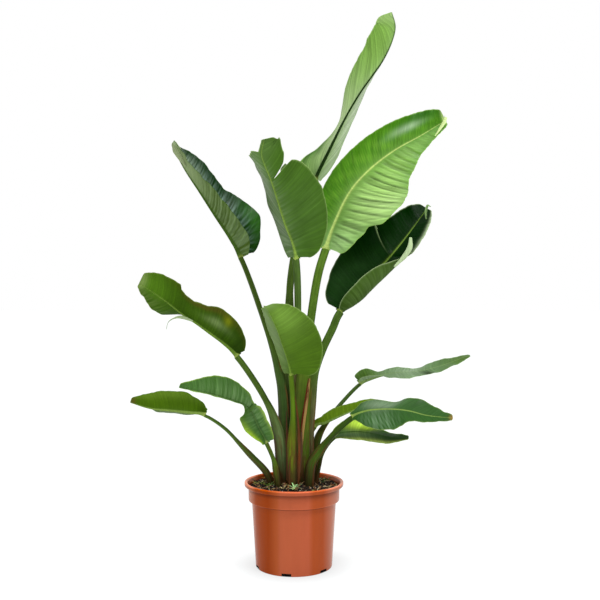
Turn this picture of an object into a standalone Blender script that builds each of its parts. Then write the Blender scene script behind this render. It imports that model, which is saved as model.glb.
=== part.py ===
"""Potted bird of paradise: thirteen leaves on their stalks in a plastic nursery pot.

Metres, +Z up. The origin is the centre of the pot's base. The viewer stands at -Y, so
+X is to the right. Each leaf is a stalk, which stands in a plain hole in the soil, and
a blade, which starts where its stalk ends. Both follow one smooth curve.
"""
import math

import bpy
import numpy as np

NAME = "potted_bird_of_paradise"

# Pot, turned about Z
LIP_RADIUS = 0.105
COLLAR_RADIUS = 0.0968
SHOULDER_RADIUS = 0.0893
BASE_RADIUS = 0.0808
POT_HEIGHT = 0.178
LIP_BOTTOM = 0.169
COLLAR_BOTTOM = 0.1395
BASE_ROUND = 0.004
WALL = 0.0018
FLOOR_THICKNESS = 0.002
POT_STEPS = 48

# Drain slots round the bottom edge
SLOTS = 6
SLOT_WIDTH = 0.020
SLOT_HEIGHT = 0.0065
SLOT_DEPTH = 0.016
SLOT_TURN = math.radians(-10.7)

# Soil, a mounded body that fills the pot
CLEARANCE = 0.0003
SOIL_EDGE = 0.163
SOIL_MIDDLE = 0.173
SOIL_STEPS = 24
HOLE_BOTTOM = 0.1445

# Stalks and blades
FOOT = 0.145
SOIL_LINE = 0.177
STALK_SIDES = 12
RING_SPACING = 0.042
BLADE_THICKNESS = 0.0009
RIB_THICKNESS = 0.0060
TIP_RIB_THICKNESS = 0.0014
THIN_SHEET = 0.0025
ROW_GAP = 0.011
NECK = 0.008
CURVE_STEPS = 24


def half(*keys):
    """One half of a blade, to one side of its midrib.

    Each key is (place, reach, rise, curl): at that place along the blade, the half
    reaches that far from the midrib, leaves it at the angle rise above flat and turns by
    curl more out to its edge, in degrees. A tear is two keys close together.
    """
    return np.array(keys, dtype=float)


# For each leaf: foot on the soil; the stalk's points up to the blade; the midrib's
# points; the directions that the upper face looks at the foot, the blade's base, middle
# and tip; the stalk's half width and half thickness at its foot and top; rows of faces;
# how far the veins run forward at the tip; and the halves to the right and left of the
# midrib, seen from the upper face with the tip up.
LEAVES = {
    "top": {
        "foot": (-0.006, 0.032),
        "stalk": [(-0.007, 0.028, 0.350), (-0.010, 0.020, 0.540), (-0.004, 0.012, 0.630),
                  (0.018, 0.000, 0.735)],
        "rib": [(0.045, -0.010, 0.815), (0.076, -0.019, 0.880), (0.107, -0.028, 0.941),
                (0.136, -0.033, 0.990), (0.163, -0.035, 1.028), (0.186, -0.035, 1.061),
                (0.204, -0.033, 1.099), (0.212, -0.030, 1.133),
                (0.205, -0.026, 1.165)],
        "face": [(0, -1, 0), (0.1, 1, 0), (0.1, 1, 0), (0, 1, 0)],
        "stem": (0.0180, 0.0065, 0.0078, 0.0062),
        "rows": 9,
        "sweep": 0.5,
        "right": half((0, 0.010, 20, 0), (0.03, 0.045, 20, 0), (0.07, 0.058, 30, 0),
                      (0.15, 0.062, 58, 0), (0.27, 0.062, 74, 0), (0.36, 0.063, 66, 0),
                      (0.45, 0.063, 51, 0), (0.56, 0.063, 37, 0), (0.7, 0.061, 26, 0),
                      (0.82, 0.052, 20, 0), (0.91, 0.042, 18, 0), (0.965, 0.034, 16, 0),
                      (1, 0.014, 15, 0)),
        "left": half((0, 0.010, 64, 0), (0.04, 0.025, 66, 0), (0.1, 0.043, 69, 0),
                     (0.17, 0.052, 73, 0), (0.26, 0.056, 78, 0), (0.4, 0.056, 83, 0),
                     (0.55, 0.055, 94, 0), (0.7, 0.050, 98, 0), (0.85, 0.038, 98, 0),
                     (0.94, 0.024, 94, 0), (1, 0.006, 90, 0)),
    },
    "upper_right": {
        "foot": (0.014, -0.012),
        "stalk": [(0.016, -0.011, 0.290), (0.021, -0.006, 0.400), (0.034, 0.008, 0.508),
                  (0.050, 0.027, 0.610)],
        "rib": [(0.068, 0.044, 0.672), (0.088, 0.054, 0.730), (0.122, 0.066, 0.800),
                (0.167, 0.078, 0.852), (0.224, 0.092, 0.897), (0.285, 0.108, 0.933),
                (0.343, 0.122, 0.970)],
        "face": [(-0.1, -1, 0), (-0.1, -1, 0.2), (-0.1, -1, 0.2), (0, -1, 0.2)],
        "stem": (0.0170, 0.0065, 0.0088, 0.0068),
        "rows": 9,
        "sweep": 0.5,
        "right": half((0, 0.010, 10, 0), (0.03, 0.040, 10, -10), (0.09, 0.060, 12, -10),
                      (0.14, 0.072, 12, -10), (0.165, 0.074, 12, -10), (0.19, 0.100, 12, -10),
                      (0.24, 0.112, 12, -10), (0.3, 0.118, 10, -10), (0.36, 0.112, 10, -10),
                      (0.42, 0.104, 10, -10), (0.52, 0.080, 12, -10), (0.62, 0.063, 15, -10),
                      (0.71, 0.045, 18, -10), (0.84, 0.028, 20, 0), (1, 0.006, 20, 0)),
        "left": half((0, 0.012, 25, 0), (0.05, 0.038, 25, -10), (0.15, 0.053, 25, -15),
                     (0.30, 0.057, 28, -15), (0.50, 0.060, 30, -15), (0.65, 0.058, 30, -15),
                     (0.78, 0.053, 25, -15), (0.88, 0.045, 20, -15), (0.96, 0.033, 20, -10),
                     (1, 0.019, 20, 0)),
    },
    "upper_centre": {
        "foot": (0.003, 0.012),
        "stalk": [(0.004, 0.011, 0.350), (0.008, 0.003, 0.500)],
        "rib": [(0.004, -0.020, 0.648), (-0.021, -0.068, 0.725), (-0.043, -0.126, 0.794),
                (-0.056, -0.165, 0.824), (-0.0605, -0.190, 0.8415), (-0.0545, -0.207, 0.864)],
        "face": [(0, 1, 0), (0, 1, 0.3), (0, 0.8, 0.6), (0, 0.4, 0.9)],
        "stem": (0.0125, 0.0060, 0.0074, 0.0058),
        "rows": 9,
        "sweep": 1.0,
        "right": half((0, 0.010, 55, 0), (0.05, 0.043, 60, 0), (0.15, 0.070, 67, 0),
                      (0.33, 0.084, 69, 0), (0.53, 0.074, 62, 0), (0.64, 0.053, 50, 0),
                      (0.72, 0.037, 42, 0), (0.8, 0.025, 34, 0), (0.845, 0.021, 28, 0),
                      (0.875, 0.015, 22, 0), (0.89, 0.010, 18, 0), (0.905, 0.005, 5, 0),
                      (1, 0.005, 5, 0)),
        "left": half((0, 0.010, 10, 0), (0.02, 0.030, 10, 0), (0.06, 0.056, 12, 0),
                     (0.14, 0.083, 12, 0), (0.25, 0.095, 10, 0), (0.34, 0.094, 10, 0),
                     (0.42, 0.086, 10, 0), (0.5, 0.077, 10, 0), (0.57, 0.065, 10, 0),
                     (0.625, 0.050, 11, 0), (0.638, 0.006, 12, 0), (0.66, 0.034, 14, -10),
                     (0.72, 0.044, 20, -20), (0.8, 0.045, 26, -15), (0.88, 0.040, 30, -10),
                     (0.95, 0.031, 32, -10), (1, 0.012, 32, 0)),
    },
    "upper_left": {
        "foot": (-0.022, 0.014),
        "stalk": [(-0.023, 0.013, 0.340), (-0.034, 0.012, 0.415), (-0.049, 0.010, 0.477),
                  (-0.066, 0.007, 0.532), (-0.089, 0.003, 0.602)],
        "rib": [(-0.109, 0.000, 0.653), (-0.135, -0.006, 0.698), (-0.167, -0.012, 0.745),
                (-0.198, -0.016, 0.792), (-0.227, -0.018, 0.835), (-0.257, -0.020, 0.888)],
        "face": [(0.2, 1, 0), (0.85, 0, 0.53), (0.85, 0, 0.53), (0.85, 0, 0.53)],
        "stem": (0.0125, 0.0065, 0.0084, 0.0068),
        "rows": 9,
        "sweep": 0.5,
        "right": half((0, 0.010, 60, 0), (0.02, 0.028, 60, 0), (0.08, 0.060, 62, 0),
                      (0.17, 0.086, 62, 0), (0.32, 0.070, 57, 0), (0.46, 0.061, 46, 0),
                      (0.6, 0.056, 50, 0), (0.76, 0.042, 58, 0), (0.88, 0.026, 60, 0),
                      (0.94, 0.016, 60, 0), (0.96, 0.006, 60, 0), (1, 0.005, 60, 0)),
        "left": half((0, 0.008, 30, 0), (0.04, 0.030, 35, 0), (0.1, 0.055, 35, 0),
                     (0.2, 0.065, 32, 0), (0.36, 0.062, 30, 0), (0.6, 0.045, 28, 0),
                     (0.82, 0.031, 28, 0), (0.93, 0.026, 28, 0), (0.98, 0.023, 28, 0),
                     (1, 0.014, 28, 0)),
    },
    "middle_right": {
        "foot": (0.027, 0.018),
        "stalk": [(0.028, 0.014, 0.290), (0.035, 0.016, 0.350), (0.045, 0.019, 0.409),
                  (0.061, 0.024, 0.456), (0.082, 0.032, 0.500)],
        "rib": [(0.099, 0.040, 0.536), (0.138, 0.055, 0.577), (0.181, 0.072, 0.624),
                (0.219, 0.088, 0.665), (0.253, 0.104, 0.706), (0.280, 0.118, 0.741),
                (0.303, 0.130, 0.771)],
        "face": [(-0.2, -1, 0), (-0.3, -0.9, 0.3), (-0.3, -0.9, 0.3), (-0.3, -0.9, 0.3)],
        "stem": (0.0140, 0.0065, 0.0086, 0.0068),
        "rows": 9,
        "sweep": 0.5,
        "right": half((0, 0.010, 15, 60), (0.03, 0.042, 10, 140), (0.09, 0.073, 2, 168),
                      (0.17, 0.084, -2, 172), (0.25, 0.083, -2, 158), (0.34, 0.077, 0, 122),
                      (0.44, 0.067, 4, 85), (0.53, 0.059, 8, 60), (0.55, 0.025, 8, 0),
                      (0.57, 0.042, 10, 10), (0.75, 0.038, 10, 10), (0.88, 0.029, 15, 10),
                      (1, 0.004, 15, 0)),
        "left": half((0, 0.010, 20, 0), (0.02, 0.030, 20, 0), (0.07, 0.055, 20, -10),
                     (0.17, 0.079, 20, -10), (0.30, 0.090, 20, -10), (0.45, 0.089, 20, 0),
                     (0.54, 0.084, 22, 10), (0.56, 0.062, 18, 0), (0.58, 0.076, 10, 0),
                     (0.70, 0.060, 8, 0), (0.82, 0.048, 10, 0), (0.92, 0.034, 15, 0),
                     (1, 0.008, 15, 0)),
    },
    "front_centre": {
        "foot": (-0.002, -0.042),
        "stalk": [(-0.003, -0.038, 0.250), (-0.002, -0.037, 0.340)],
        "rib": [(-0.006, -0.042, 0.406), (-0.013, -0.062, 0.441), (-0.024, -0.090, 0.477),
                (-0.033, -0.118, 0.506), (-0.043, -0.146, 0.531), (-0.052, -0.180, 0.551)],
        "face": [(0, 1, 0), (0, 0.8, 0.6), (0, 0.7, 0.7), (0, 0.5, 0.9)],
        "stem": (0.0100, 0.0060, 0.0055, 0.0050),
        "rows": 8,
        "sweep": 0.5,
        "right": half((0, 0.008, 50, 0), (0.05, 0.032, 52, 0), (0.15, 0.047, 56, 0),
                      (0.37, 0.054, 56, 0), (0.6, 0.042, 52, 0), (0.74, 0.028, 44, 0),
                      (0.86, 0.017, 36, 0), (0.93, 0.009, 30, 0), (1, 0.003, 20, 0)),
        "left": half((0, 0.010, 8, 0), (0.02, 0.036, 8, 0), (0.05, 0.056, 8, 0),
                     (0.12, 0.071, 8, 0), (0.25, 0.078, 8, 0), (0.42, 0.074, 8, 0),
                     (0.6, 0.060, 10, 0), (0.78, 0.042, 12, 0), (0.9, 0.027, 15, 0),
                     (1, 0.005, 15, 0)),
    },
    "middle_left": {
        "foot": (-0.026, -0.010),
        "stalk": [(-0.029, -0.014, 0.260), (-0.042, -0.017, 0.315), (-0.060, -0.021, 0.355),
                  (-0.086, -0.027, 0.400)],
        "rib": [(-0.117, -0.034, 0.445), (-0.145, -0.044, 0.473), (-0.175, -0.054, 0.496),
                (-0.200, -0.062, 0.515), (-0.224, -0.068, 0.531), (-0.258, -0.074, 0.558),
                (-0.286, -0.078, 0.578), (-0.313, -0.084, 0.596)],
        "face": [(0.2, 1, 0), (0.3, 0.8, 0.5), (0.3, 0.8, 0.5), (0.3, 0.8, 0.5)],
        "stem": (0.0115, 0.0060, 0.0066, 0.0056),
        "rows": 8,
        "sweep": 0.5,
        "right": half((0, 0.010, 100, 0), (0.05, 0.035, 110, 0), (0.2, 0.045, 115, 0),
                      (0.42, 0.045, 110, 0), (0.49, 0.044, 92, 0), (0.55, 0.045, 50, 0),
                      (0.62, 0.048, 14, 0), (0.74, 0.041, 4, 0), (0.87, 0.026, 4, 0),
                      (1, 0.004, 10, 0)),
        "left": half((0, 0.010, 20, 0), (0.03, 0.022, 20, 0), (0.08, 0.039, 22, 0),
                     (0.16, 0.052, 25, 0), (0.26, 0.058, 22, 0), (0.33, 0.052, 30, 0),
                     (0.4, 0.043, 30, 0), (0.5, 0.038, 22, 0), (0.58, 0.038, 20, 0),
                     (0.635, 0.040, 20, 0), (0.655, 0.048, 20, 0), (0.72, 0.047, 20, 0),
                     (0.82, 0.042, 22, 0), (0.92, 0.033, 25, 0), (1, 0.016, 25, 0)),
    },
    "low_left": {
        "foot": (-0.0490, -0.018),
        "stalk": [(-0.060, -0.016, 0.202), (-0.087, -0.012, 0.230), (-0.114, -0.010, 0.259),
                  (-0.146, -0.012, 0.294)],
        "rib": [(-0.185, -0.018, 0.322), (-0.218, -0.026, 0.328), (-0.258, -0.034, 0.333),
                (-0.298, -0.042, 0.338), (-0.338, -0.050, 0.351)],
        "face": [(0.2, 1, 0), (0, 0.2, 1), (0, 0.2, 1), (0, 0.2, 1)],
        "stem": (0.0068, 0.0060, 0.0042, 0.0040),
        "rows": 7,
        "sweep": 0.4,
        "right": half((0, 0.008, 20, 0), (0.05, 0.018, -2, 0), (0.15, 0.030, -6, 0),
                      (0.3, 0.035, -7, 0), (0.45, 0.033, -7, 0), (0.58, 0.026, -8, 0),
                      (0.66, 0.016, -6, 0), (0.7, 0.008, 0, 0), (0.76, 0.012, 35, 0),
                      (0.86, 0.017, 50, 0), (0.94, 0.013, 50, 0), (1, 0.005, 50, 0)),
        "left": half((0, 0.007, 70, 0), (0.04, 0.013, 72, 0), (0.08, 0.023, 73, 0),
                     (0.14, 0.031, 74, 0), (0.26, 0.041, 76, 0), (0.50, 0.039, 76, 0), (0.72, 0.030, 72, 0),
                     (0.90, 0.018, 66, 0), (1, 0.005, 60, 0)),
    },
    "low_left_bent": {
        "foot": (-0.033, -0.036),
        "stalk": [(-0.040, -0.033, 0.222)],
        "rib": [(-0.056, -0.032, 0.263), (-0.074, -0.044, 0.301), (-0.090, -0.062, 0.339),
                (-0.113, -0.076, 0.355), (-0.149, -0.088, 0.368), (-0.188, -0.098, 0.379),
                (-0.229, -0.106, 0.388)],
        "face": [(0.2, -1, 0), (0.3, -0.8, 0.3), (0.1, -0.7, 0.7), (0.1, -0.7, 0.7)],
        "stem": (0.0060, 0.0055, 0.0044, 0.0040),
        "rows": 8,
        "sweep": 0.3,
        "right": half((0, 0.008, 10, 0), (0.03, 0.017, 20, 0), (0.12, 0.023, 20, 0),
                      (0.22, 0.023, 20, 0), (0.3, 0.021, 22, 0), (0.345, 0.015, 25, 0),
                      (0.375, 0.017, 28, 0), (0.41, 0.026, 30, 0), (0.47, 0.034, 30, 0),
                      (0.57, 0.041, 30, 0), (0.67, 0.040, 26, 0), (0.77, 0.032, 20, 0),
                      (0.86, 0.022, 20, 0), (0.94, 0.013, 20, 0), (1, 0.005, 20, 0)),
        "left": half((0, 0.007, 10, 0), (0.05, 0.014, 20, 0), (0.12, 0.024, 10, 0),
                     (0.22, 0.032, 0, 0), (0.31, 0.033, 0, 0), (0.36, 0.030, 8, 0),
                     (0.41, 0.021, 20, 0), (0.46, 0.013, 38, 0), (0.6, 0.016, 40, 0),
                     (0.8, 0.013, 40, 0), (0.93, 0.008, 40, 0), (1, 0.004, 40, 0)),
    },
    "low_right_wavy": {
        "foot": (0.038, 0.036),
        "stalk": [(0.050, 0.036, 0.259), (0.078, 0.046, 0.307), (0.107, 0.054, 0.343)],
        "rib": [(0.142, 0.062, 0.379), (0.167, 0.062, 0.390), (0.198, 0.064, 0.399),
                (0.233, 0.066, 0.403), (0.278, 0.070, 0.406), (0.334, 0.074, 0.420),
                (0.390, 0.080, 0.440)],
        "face": [(-0.4, -0.9, 0.1), (-0.2, -0.15, 1), (-0.2, -0.15, 1), (-0.2, -0.15, 1)],
        "stem": (0.0080, 0.0060, 0.0048, 0.0045),
        "rows": 8,
        "sweep": 0.4,
        "right": half((0, 0.008, 30, 0), (0.05, 0.018, 40, 0), (0.15, 0.022, 20, 0),
                      (0.25, 0.026, -10, 0), (0.37, 0.029, -16, 0), (0.50, 0.027, -8, 0),
                      (0.64, 0.026, -14, 0), (0.77, 0.023, -6, 0), (0.90, 0.014, -14, 0),
                      (1, 0.005, 0, 0)),
        "left": half((0, 0.008, 60, 0), (0.03, 0.020, 70, 0), (0.09, 0.025, 62, 0),
                     (0.19, 0.020, 10, 0), (0.33, 0.027, 14, 0), (0.48, 0.026, 2, 0),
                     (0.68, 0.026, 16, 0), (0.85, 0.020, 8, 0), (1, 0.005, 0, 0)),
    },
    "low_right": {
        "foot": (0.032, -0.034),
        "stalk": [(0.036, -0.033, 0.220), (0.054, -0.038, 0.250), (0.083, -0.045, 0.287)],
        "rib": [(0.118, -0.054, 0.321), (0.146, -0.064, 0.335), (0.176, -0.072, 0.340),
                (0.205, -0.080, 0.341), (0.235, -0.088, 0.338), (0.264, -0.095, 0.331),
                (0.293, -0.101, 0.328), (0.318, -0.106, 0.327)],
        "face": [(-0.5, -0.85, 0.1), (0, -0.55, 0.83), (0, -0.55, 0.83), (0, -0.55, 0.83)],
        "stem": (0.0095, 0.0075, 0.0062, 0.0056),
        "rows": 8,
        "sweep": 0.4,
        "right": half((0, 0.007, 0, 0), (0.05, 0.014, -5, 0), (0.15, 0.038, -22, 0),
                      (0.25, 0.045, -28, 0), (0.36, 0.045, -28, 0), (0.47, 0.036, -22, 0),
                      (0.57, 0.026, -10, 0), (0.72, 0.021, 0, 0), (0.88, 0.013, 0, 0),
                      (1, 0.005, 0, 0)),
        "left": half((0, 0.007, 20, 0), (0.05, 0.012, 15, 0), (0.13, 0.024, 12, 0),
                     (0.25, 0.029, 2, 0), (0.37, 0.031, -14, 0), (0.5, 0.036, 6, 0),
                     (0.62, 0.036, 10, 0), (0.76, 0.027, 10, 0), (0.9, 0.015, 6, 0),
                     (1, 0.005, 0, 0)),
    },
    "back_right": {
        "foot": (0.014, 0.050),
        "stalk": [(0.020, 0.048, 0.230)],
        "rib": [(0.043, 0.036, 0.288), (0.067, 0.026, 0.299), (0.098, 0.017, 0.314),
                (0.124, 0.009, 0.326), (0.150, 0.003, 0.338), (0.176, 0.000, 0.346)],
        "face": [(-0.7, 0.7, 0.2), (-0.3, 0.3, 0.9), (-0.3, 0.3, 0.9), (-0.3, 0.3, 0.9)],
        "stem": (0.0060, 0.0050, 0.0042, 0.0040),
        "rows": 7,
        "sweep": 0.4,
        "right": half((0, 0.006, 70, 0), (0.06, 0.009, 72, 0), (0.18, 0.016, 74, 0),
                      (0.33, 0.020, 74, 0), (0.5, 0.018, 72, 0), (0.7, 0.014, 70, 0),
                      (0.9, 0.010, 70, 0), (1, 0.004, 70, 0)),
        "left": half((0, 0.006, 50, 0), (0.06, 0.009, 50, 0), (0.2, 0.018, 50, 0),
                     (0.4, 0.023, 50, 0), (0.7, 0.018, 55, 0), (0.9, 0.010, 60, 0),
                     (1, 0.004, 60, 0)),
    },
    "low_right_under": {
        "foot": (0.046, -0.008),
        "stalk": [(0.058, -0.010, 0.235)],
        "rib": [(0.086, -0.016, 0.276), (0.122, -0.022, 0.286), (0.163, -0.028, 0.284),
                (0.204, -0.034, 0.277), (0.239, -0.038, 0.277)],
        "face": [(-0.5, -0.8, 0.1), (0, -0.35, 0.94), (0, -0.35, 0.94), (0, -0.35, 0.94)],
        "stem": (0.0055, 0.0050, 0.0040, 0.0038),
        "rows": 7,
        "sweep": 0.4,
        "right": half((0, 0.007, 0, 0), (0.10, 0.018, -10, 0), (0.30, 0.025, -15, 0),
                      (0.60, 0.024, -15, 0), (0.80, 0.016, -10, 0), (1, 0.004, 0, 0)),
        "left": half((0, 0.007, 30, 0), (0.06, 0.018, 30, 0), (0.18, 0.032, 30, 0),
                     (0.33, 0.032, 15, 0), (0.53, 0.026, -5, 0), (0.75, 0.020, -5, 0),
                     (0.90, 0.012, 0, 0), (1, 0.004, 0, 0)),
    },
}

# Where a blade's columns lie between its midrib and its edge
ACROSS = (0.0, 0.3, 0.62, 1.0)
# Where a stalk's flat sheath starts to narrow and where it ends, as shares of its
# length, and how deep the groove along the stalk is
SHEATH = (0.38, 0.62)
GROOVE = 0.45

COLOURS = {
    "pot": ((0.55, 0.16, 0.07), 0.35),
    "soil": ((0.025, 0.016, 0.010), 0.95),
    "stalk": ((0.10, 0.19, 0.05), 0.45),
    "leaf": ((0.06, 0.20, 0.03), 0.40),
}


def clear_scene():
    """Remove what the file starts with."""
    for thing in list(bpy.data.objects):
        bpy.data.objects.remove(thing, do_unlink=True)


def make_material(name):
    """A plain material with the part's own colour and roughness."""
    colour, roughness = COLOURS[name]
    material = bpy.data.materials.new(name)
    material.use_nodes = True
    shader = material.node_tree.nodes["Principled BSDF"]
    shader.inputs["Base Color"].default_value = (*colour, 1.0)
    shader.inputs["Roughness"].default_value = roughness
    shader.inputs["Metallic"].default_value = 0.0
    return material


def make_object(name, mesh, collection, material=None):
    """Put a mesh in the scene under a plain name."""
    thing = bpy.data.objects.new(name, mesh)
    collection.objects.link(thing)
    if material:
        mesh.materials.append(material)
    return thing


def curve_through(points):
    """Close points on a smooth curve through a few hand-placed ones."""
    placed = np.array(points, dtype=float)
    ends = (2 * placed[0] - placed[1], 2 * placed[-1] - placed[-2])
    knots = np.vstack([ends[0], placed, ends[1]])
    t = np.linspace(0.0, 1.0, CURVE_STEPS, endpoint=False)[:, None]
    spans = [0.5 * (2 * b + (c - a) * t + (2 * a - 5 * b + 4 * c - d) * t ** 2
                    + (3 * b - a - 3 * c + d) * t ** 3)
             for a, b, c, d in zip(knots, knots[1:], knots[2:], knots[3:])]
    return np.vstack([*spans, placed[-1:]])


def unit(vectors):
    """Rows scaled to length one."""
    return vectors / np.linalg.norm(vectors, axis=-1, keepdims=True)


def leaf_path(leaf):
    """The curve of a whole leaf, its running length, and where the blade starts on it."""
    x, y = leaf["foot"]
    lower = [(x, y, FOOT), (x, y, SOIL_LINE), *leaf["stalk"]]
    curve = curve_through([*lower, *leaf["rib"]])
    steps = np.linalg.norm(np.diff(curve, axis=0), axis=1)
    length = np.concatenate([[0.0], np.cumsum(steps)])
    return curve, length, length[len(lower) * CURVE_STEPS]


def frame_at(leaf, distance):
    """Points on the leaf's curve with its direction, upper face and side there."""
    curve, length, base = leaf_path(leaf)
    heading = unit(np.gradient(curve, length, axis=0))
    keys = [0.0, base, (base + length[-1]) / 2, length[-1]]
    face = np.array(leaf["face"], dtype=float)
    spread = [np.interp(distance, length, curve[:, i]) for i in range(3)]
    point = np.stack(spread, axis=-1)
    along = unit(np.stack([np.interp(distance, length, heading[:, i]) for i in range(3)], axis=-1))
    up = np.stack([np.interp(distance, keys, face[:, i]) for i in range(3)], axis=-1)
    up = unit(up - along * np.sum(up * along, axis=-1, keepdims=True))
    return point, along, up, np.cross(along, up)


def smooth_between(place, keys, values):
    """Read a smooth curve through keyed values that never overshoots them."""
    step = np.diff(keys)
    slope = np.diff(values) / step
    product = slope[:-1] * slope[1:]
    total = np.where(product > 0, slope[:-1] + slope[1:], 1.0)
    inner = np.where(product > 0, 2 * product / total, 0.0)
    tangent = np.concatenate([slope[:1], inner, slope[-1:]])
    k = np.clip(np.searchsorted(keys, place, side="right") - 1, 0, len(keys) - 2)
    t = (place - keys[k]) / step[k]
    rest = 1 - t
    return (values[k] * (1 + 2 * t) * rest ** 2 + values[k + 1] * t ** 2 * (3 - 2 * t)
            + step[k] * (tangent[k] * t * rest ** 2 - tangent[k + 1] * t ** 2 * rest))


def blade_rows(leaf):
    """Places along a blade: a short neck, one at each key of its halves, some between."""
    keyed = sorted({*leaf["right"][:, 0], *leaf["left"][:, 0]})
    apart = [0.0, NECK]
    for place in keyed:
        if place - apart[-1] > ROW_GAP:
            apart.append(place)
    apart[-1] = 1.0
    spread = [(1 - math.cos(math.pi * k / leaf["rows"])) / 2 for k in range(leaf["rows"] + 1)]
    fill = [p for p in spread if min(abs(p - q) for q in apart) > 3 * ROW_GAP]
    return np.array(sorted(apart + fill))


def rib_half_width(leaf, u):
    """Half the midrib's width: the stalk's at the base, a thin line at the tip."""
    return np.interp(u, [0.0, 0.08, 1.0], [leaf["stem"][2], leaf["stem"][2] * 0.6, 0.0012])


def vein_sweep(leaf, u):
    """How far the veins run along the blade for each step out from the midrib."""
    return np.interp(u, [0.0, 0.02, 0.1, 0.3, 0.8, 1.0],
                     [0.0, -0.35, 0.0, 0.35, leaf["sweep"], 0.3])


def half_points(leaf, name, u, across):
    """The upper surface of one half: an array of rows, columns and places."""
    keys = leaf[name]
    turn = 1.0 if name == "right" else -1.0
    _, length, base = leaf_path(leaf)
    start = base + CLEARANCE
    point, along, up, right = frame_at(leaf, start + u * (length[-1] - start))
    u = np.where(u > NECK, u, 0.0)
    reach, rise, curl = [smooth_between(u, keys[:, 0], keys[:, k])[:, None] for k in (1, 2, 3)]
    rise, curl = np.radians(rise), np.radians(curl)
    curl = np.where(np.abs(curl) < 1e-3, 1e-3, curl)
    rib = rib_half_width(leaf, u)[:, None]
    reach = np.maximum(reach, rib + THIN_SHEET)
    out = rib + (reach - rib) * np.array(across)[None, :]
    angle = rise + curl * out / reach
    sideways = reach / curl * (np.sin(angle) - np.sin(rise))
    upward = reach / curl * (np.cos(rise) - np.cos(angle))
    forward = vein_sweep(leaf, u)[:, None] * (out - rib) * np.sqrt(out / reach)
    return (point[:, None] + sideways[..., None] * turn * right[:, None]
            + upward[..., None] * up[:, None] + forward[..., None] * along[:, None])


def blade_points(leaf, across):
    """Rows of points from the left edge over the midrib to the right edge."""
    u = blade_rows(leaf)
    left = half_points(leaf, "left", u, across)[:, ::-1]
    right = half_points(leaf, "right", u, across)
    _, length, base = leaf_path(leaf)
    start = base + CLEARANCE
    middle = frame_at(leaf, start + u * (length[-1] - start))[0]
    return u, np.concatenate([left, middle[:, None], right], axis=1)


def grid_triangles(rows, columns):
    """Two triangles for each cell of a grid, facing up."""
    faces = []
    for i in range(rows - 1):
        for j in range(columns - 1):
            a = i * columns + j
            b, c, d = a + 1, a + columns + 1, a + columns
            faces += [(a, b, c), (a, c, d)]
    return faces


def make_blade(name, leaf, collection, material):
    """A blade: a thin waved sheet with a midrib that stands out below it."""
    u, points = blade_points(leaf, ACROSS)
    rows, columns = points.shape[:2]
    mesh = bpy.data.meshes.new("leaf_" + name)
    mesh.from_pydata(points.reshape(-1, 3).tolist(), [], grid_triangles(rows, columns))
    blade = make_object("leaf_" + name, mesh, collection, material)
    group = blade.vertex_groups.new(name="thickness")
    everywhere = list(range(rows * columns))
    group.add(everywhere, BLADE_THICKNESS / RIB_THICKNESS, "REPLACE")
    for row, place in enumerate(u):
        depth = RIB_THICKNESS + (TIP_RIB_THICKNESS - RIB_THICKNESS) * place
        group.add([row * columns + columns // 2], depth / RIB_THICKNESS, "REPLACE")
    solid = blade.modifiers.new("thickness", "SOLIDIFY")
    solid.thickness = RIB_THICKNESS
    solid.offset = -1.0
    solid.vertex_group = group.name
    return blade


def stalk_section(leaf, share, clearance=0.0):
    """A stalk's outline across it, as sideways and upward places.

    It is a wide flat sheath at the foot, and grooved and rounder towards the blade.
    """
    foot_wide, foot_thick, top_wide, top_thick = leaf["stem"]
    wide = np.interp(share, SHEATH, [foot_wide, top_wide])
    thick = np.interp(share, SHEATH, [foot_thick, top_thick])
    angle = 2 * math.pi * np.arange(STALK_SIDES) / STALK_SIDES
    side = np.cos(angle)
    rise = np.sin(angle)
    groove = GROOVE * np.interp(share, [0.0, 0.3], [0.0, 1.0])
    rise = np.where(rise > 0, rise - groove * rise ** 3, rise)
    return (wide + clearance) * side, (thick + clearance) * rise


def stalk_rings(leaf):
    """Rings of points from a stalk's foot in the soil to just under its blade."""
    _, _, base = leaf_path(leaf)
    buried = SOIL_LINE - FOOT
    count = max(3, round((base - buried) / RING_SPACING))
    distances = [0.0, *np.linspace(buried, base, count + 1)]
    point, _, up, right = frame_at(leaf, np.array(distances))
    rings = []
    for k, distance in enumerate(distances):
        share = max(0.0, (distance - buried) / (base - buried))
        sideways, upward = stalk_section(leaf, share)
        centre = point[k]
        out, rise = right[k], up[k]
        if k < 2:
            centre = np.array([*leaf["foot"], (FOOT, SOIL_LINE)[k]])
            out, rise = level_frame(right[1])
        sink = RIB_THICKNESS / 2 * share ** 2
        rings.append(centre - rise * sink + np.outer(sideways, out) + np.outer(upward, rise))
    return rings


def level_frame(side):
    """A stalk's side and upper directions, laid level."""
    out = unit(np.array([side[0], side[1], 0.0]))
    return out, np.cross(out, [0.0, 0.0, 1.0])


def loft(name, rings):
    """A closed body through rings with equal numbers of points."""
    sides = len(rings[0])
    faces = [tuple(range(sides))]
    for k in range(len(rings) - 1):
        for j in range(sides):
            a, b = k * sides + j, k * sides + (j + 1) % sides
            faces += [(b, a, b + sides), (b + sides, a, a + sides)]
    faces.append(tuple(range((len(rings) - 1) * sides, len(rings) * sides))[::-1])
    mesh = bpy.data.meshes.new(name)
    mesh.from_pydata(np.vstack(rings).tolist(), [], faces)
    return mesh


def make_stalk(name, leaf, collection, material):
    """A stalk, from its foot in the soil to the start of its blade."""
    mesh = loft("stalk_" + name, stalk_rings(leaf))
    return make_object("stalk_" + name, mesh, collection, material)


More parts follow.
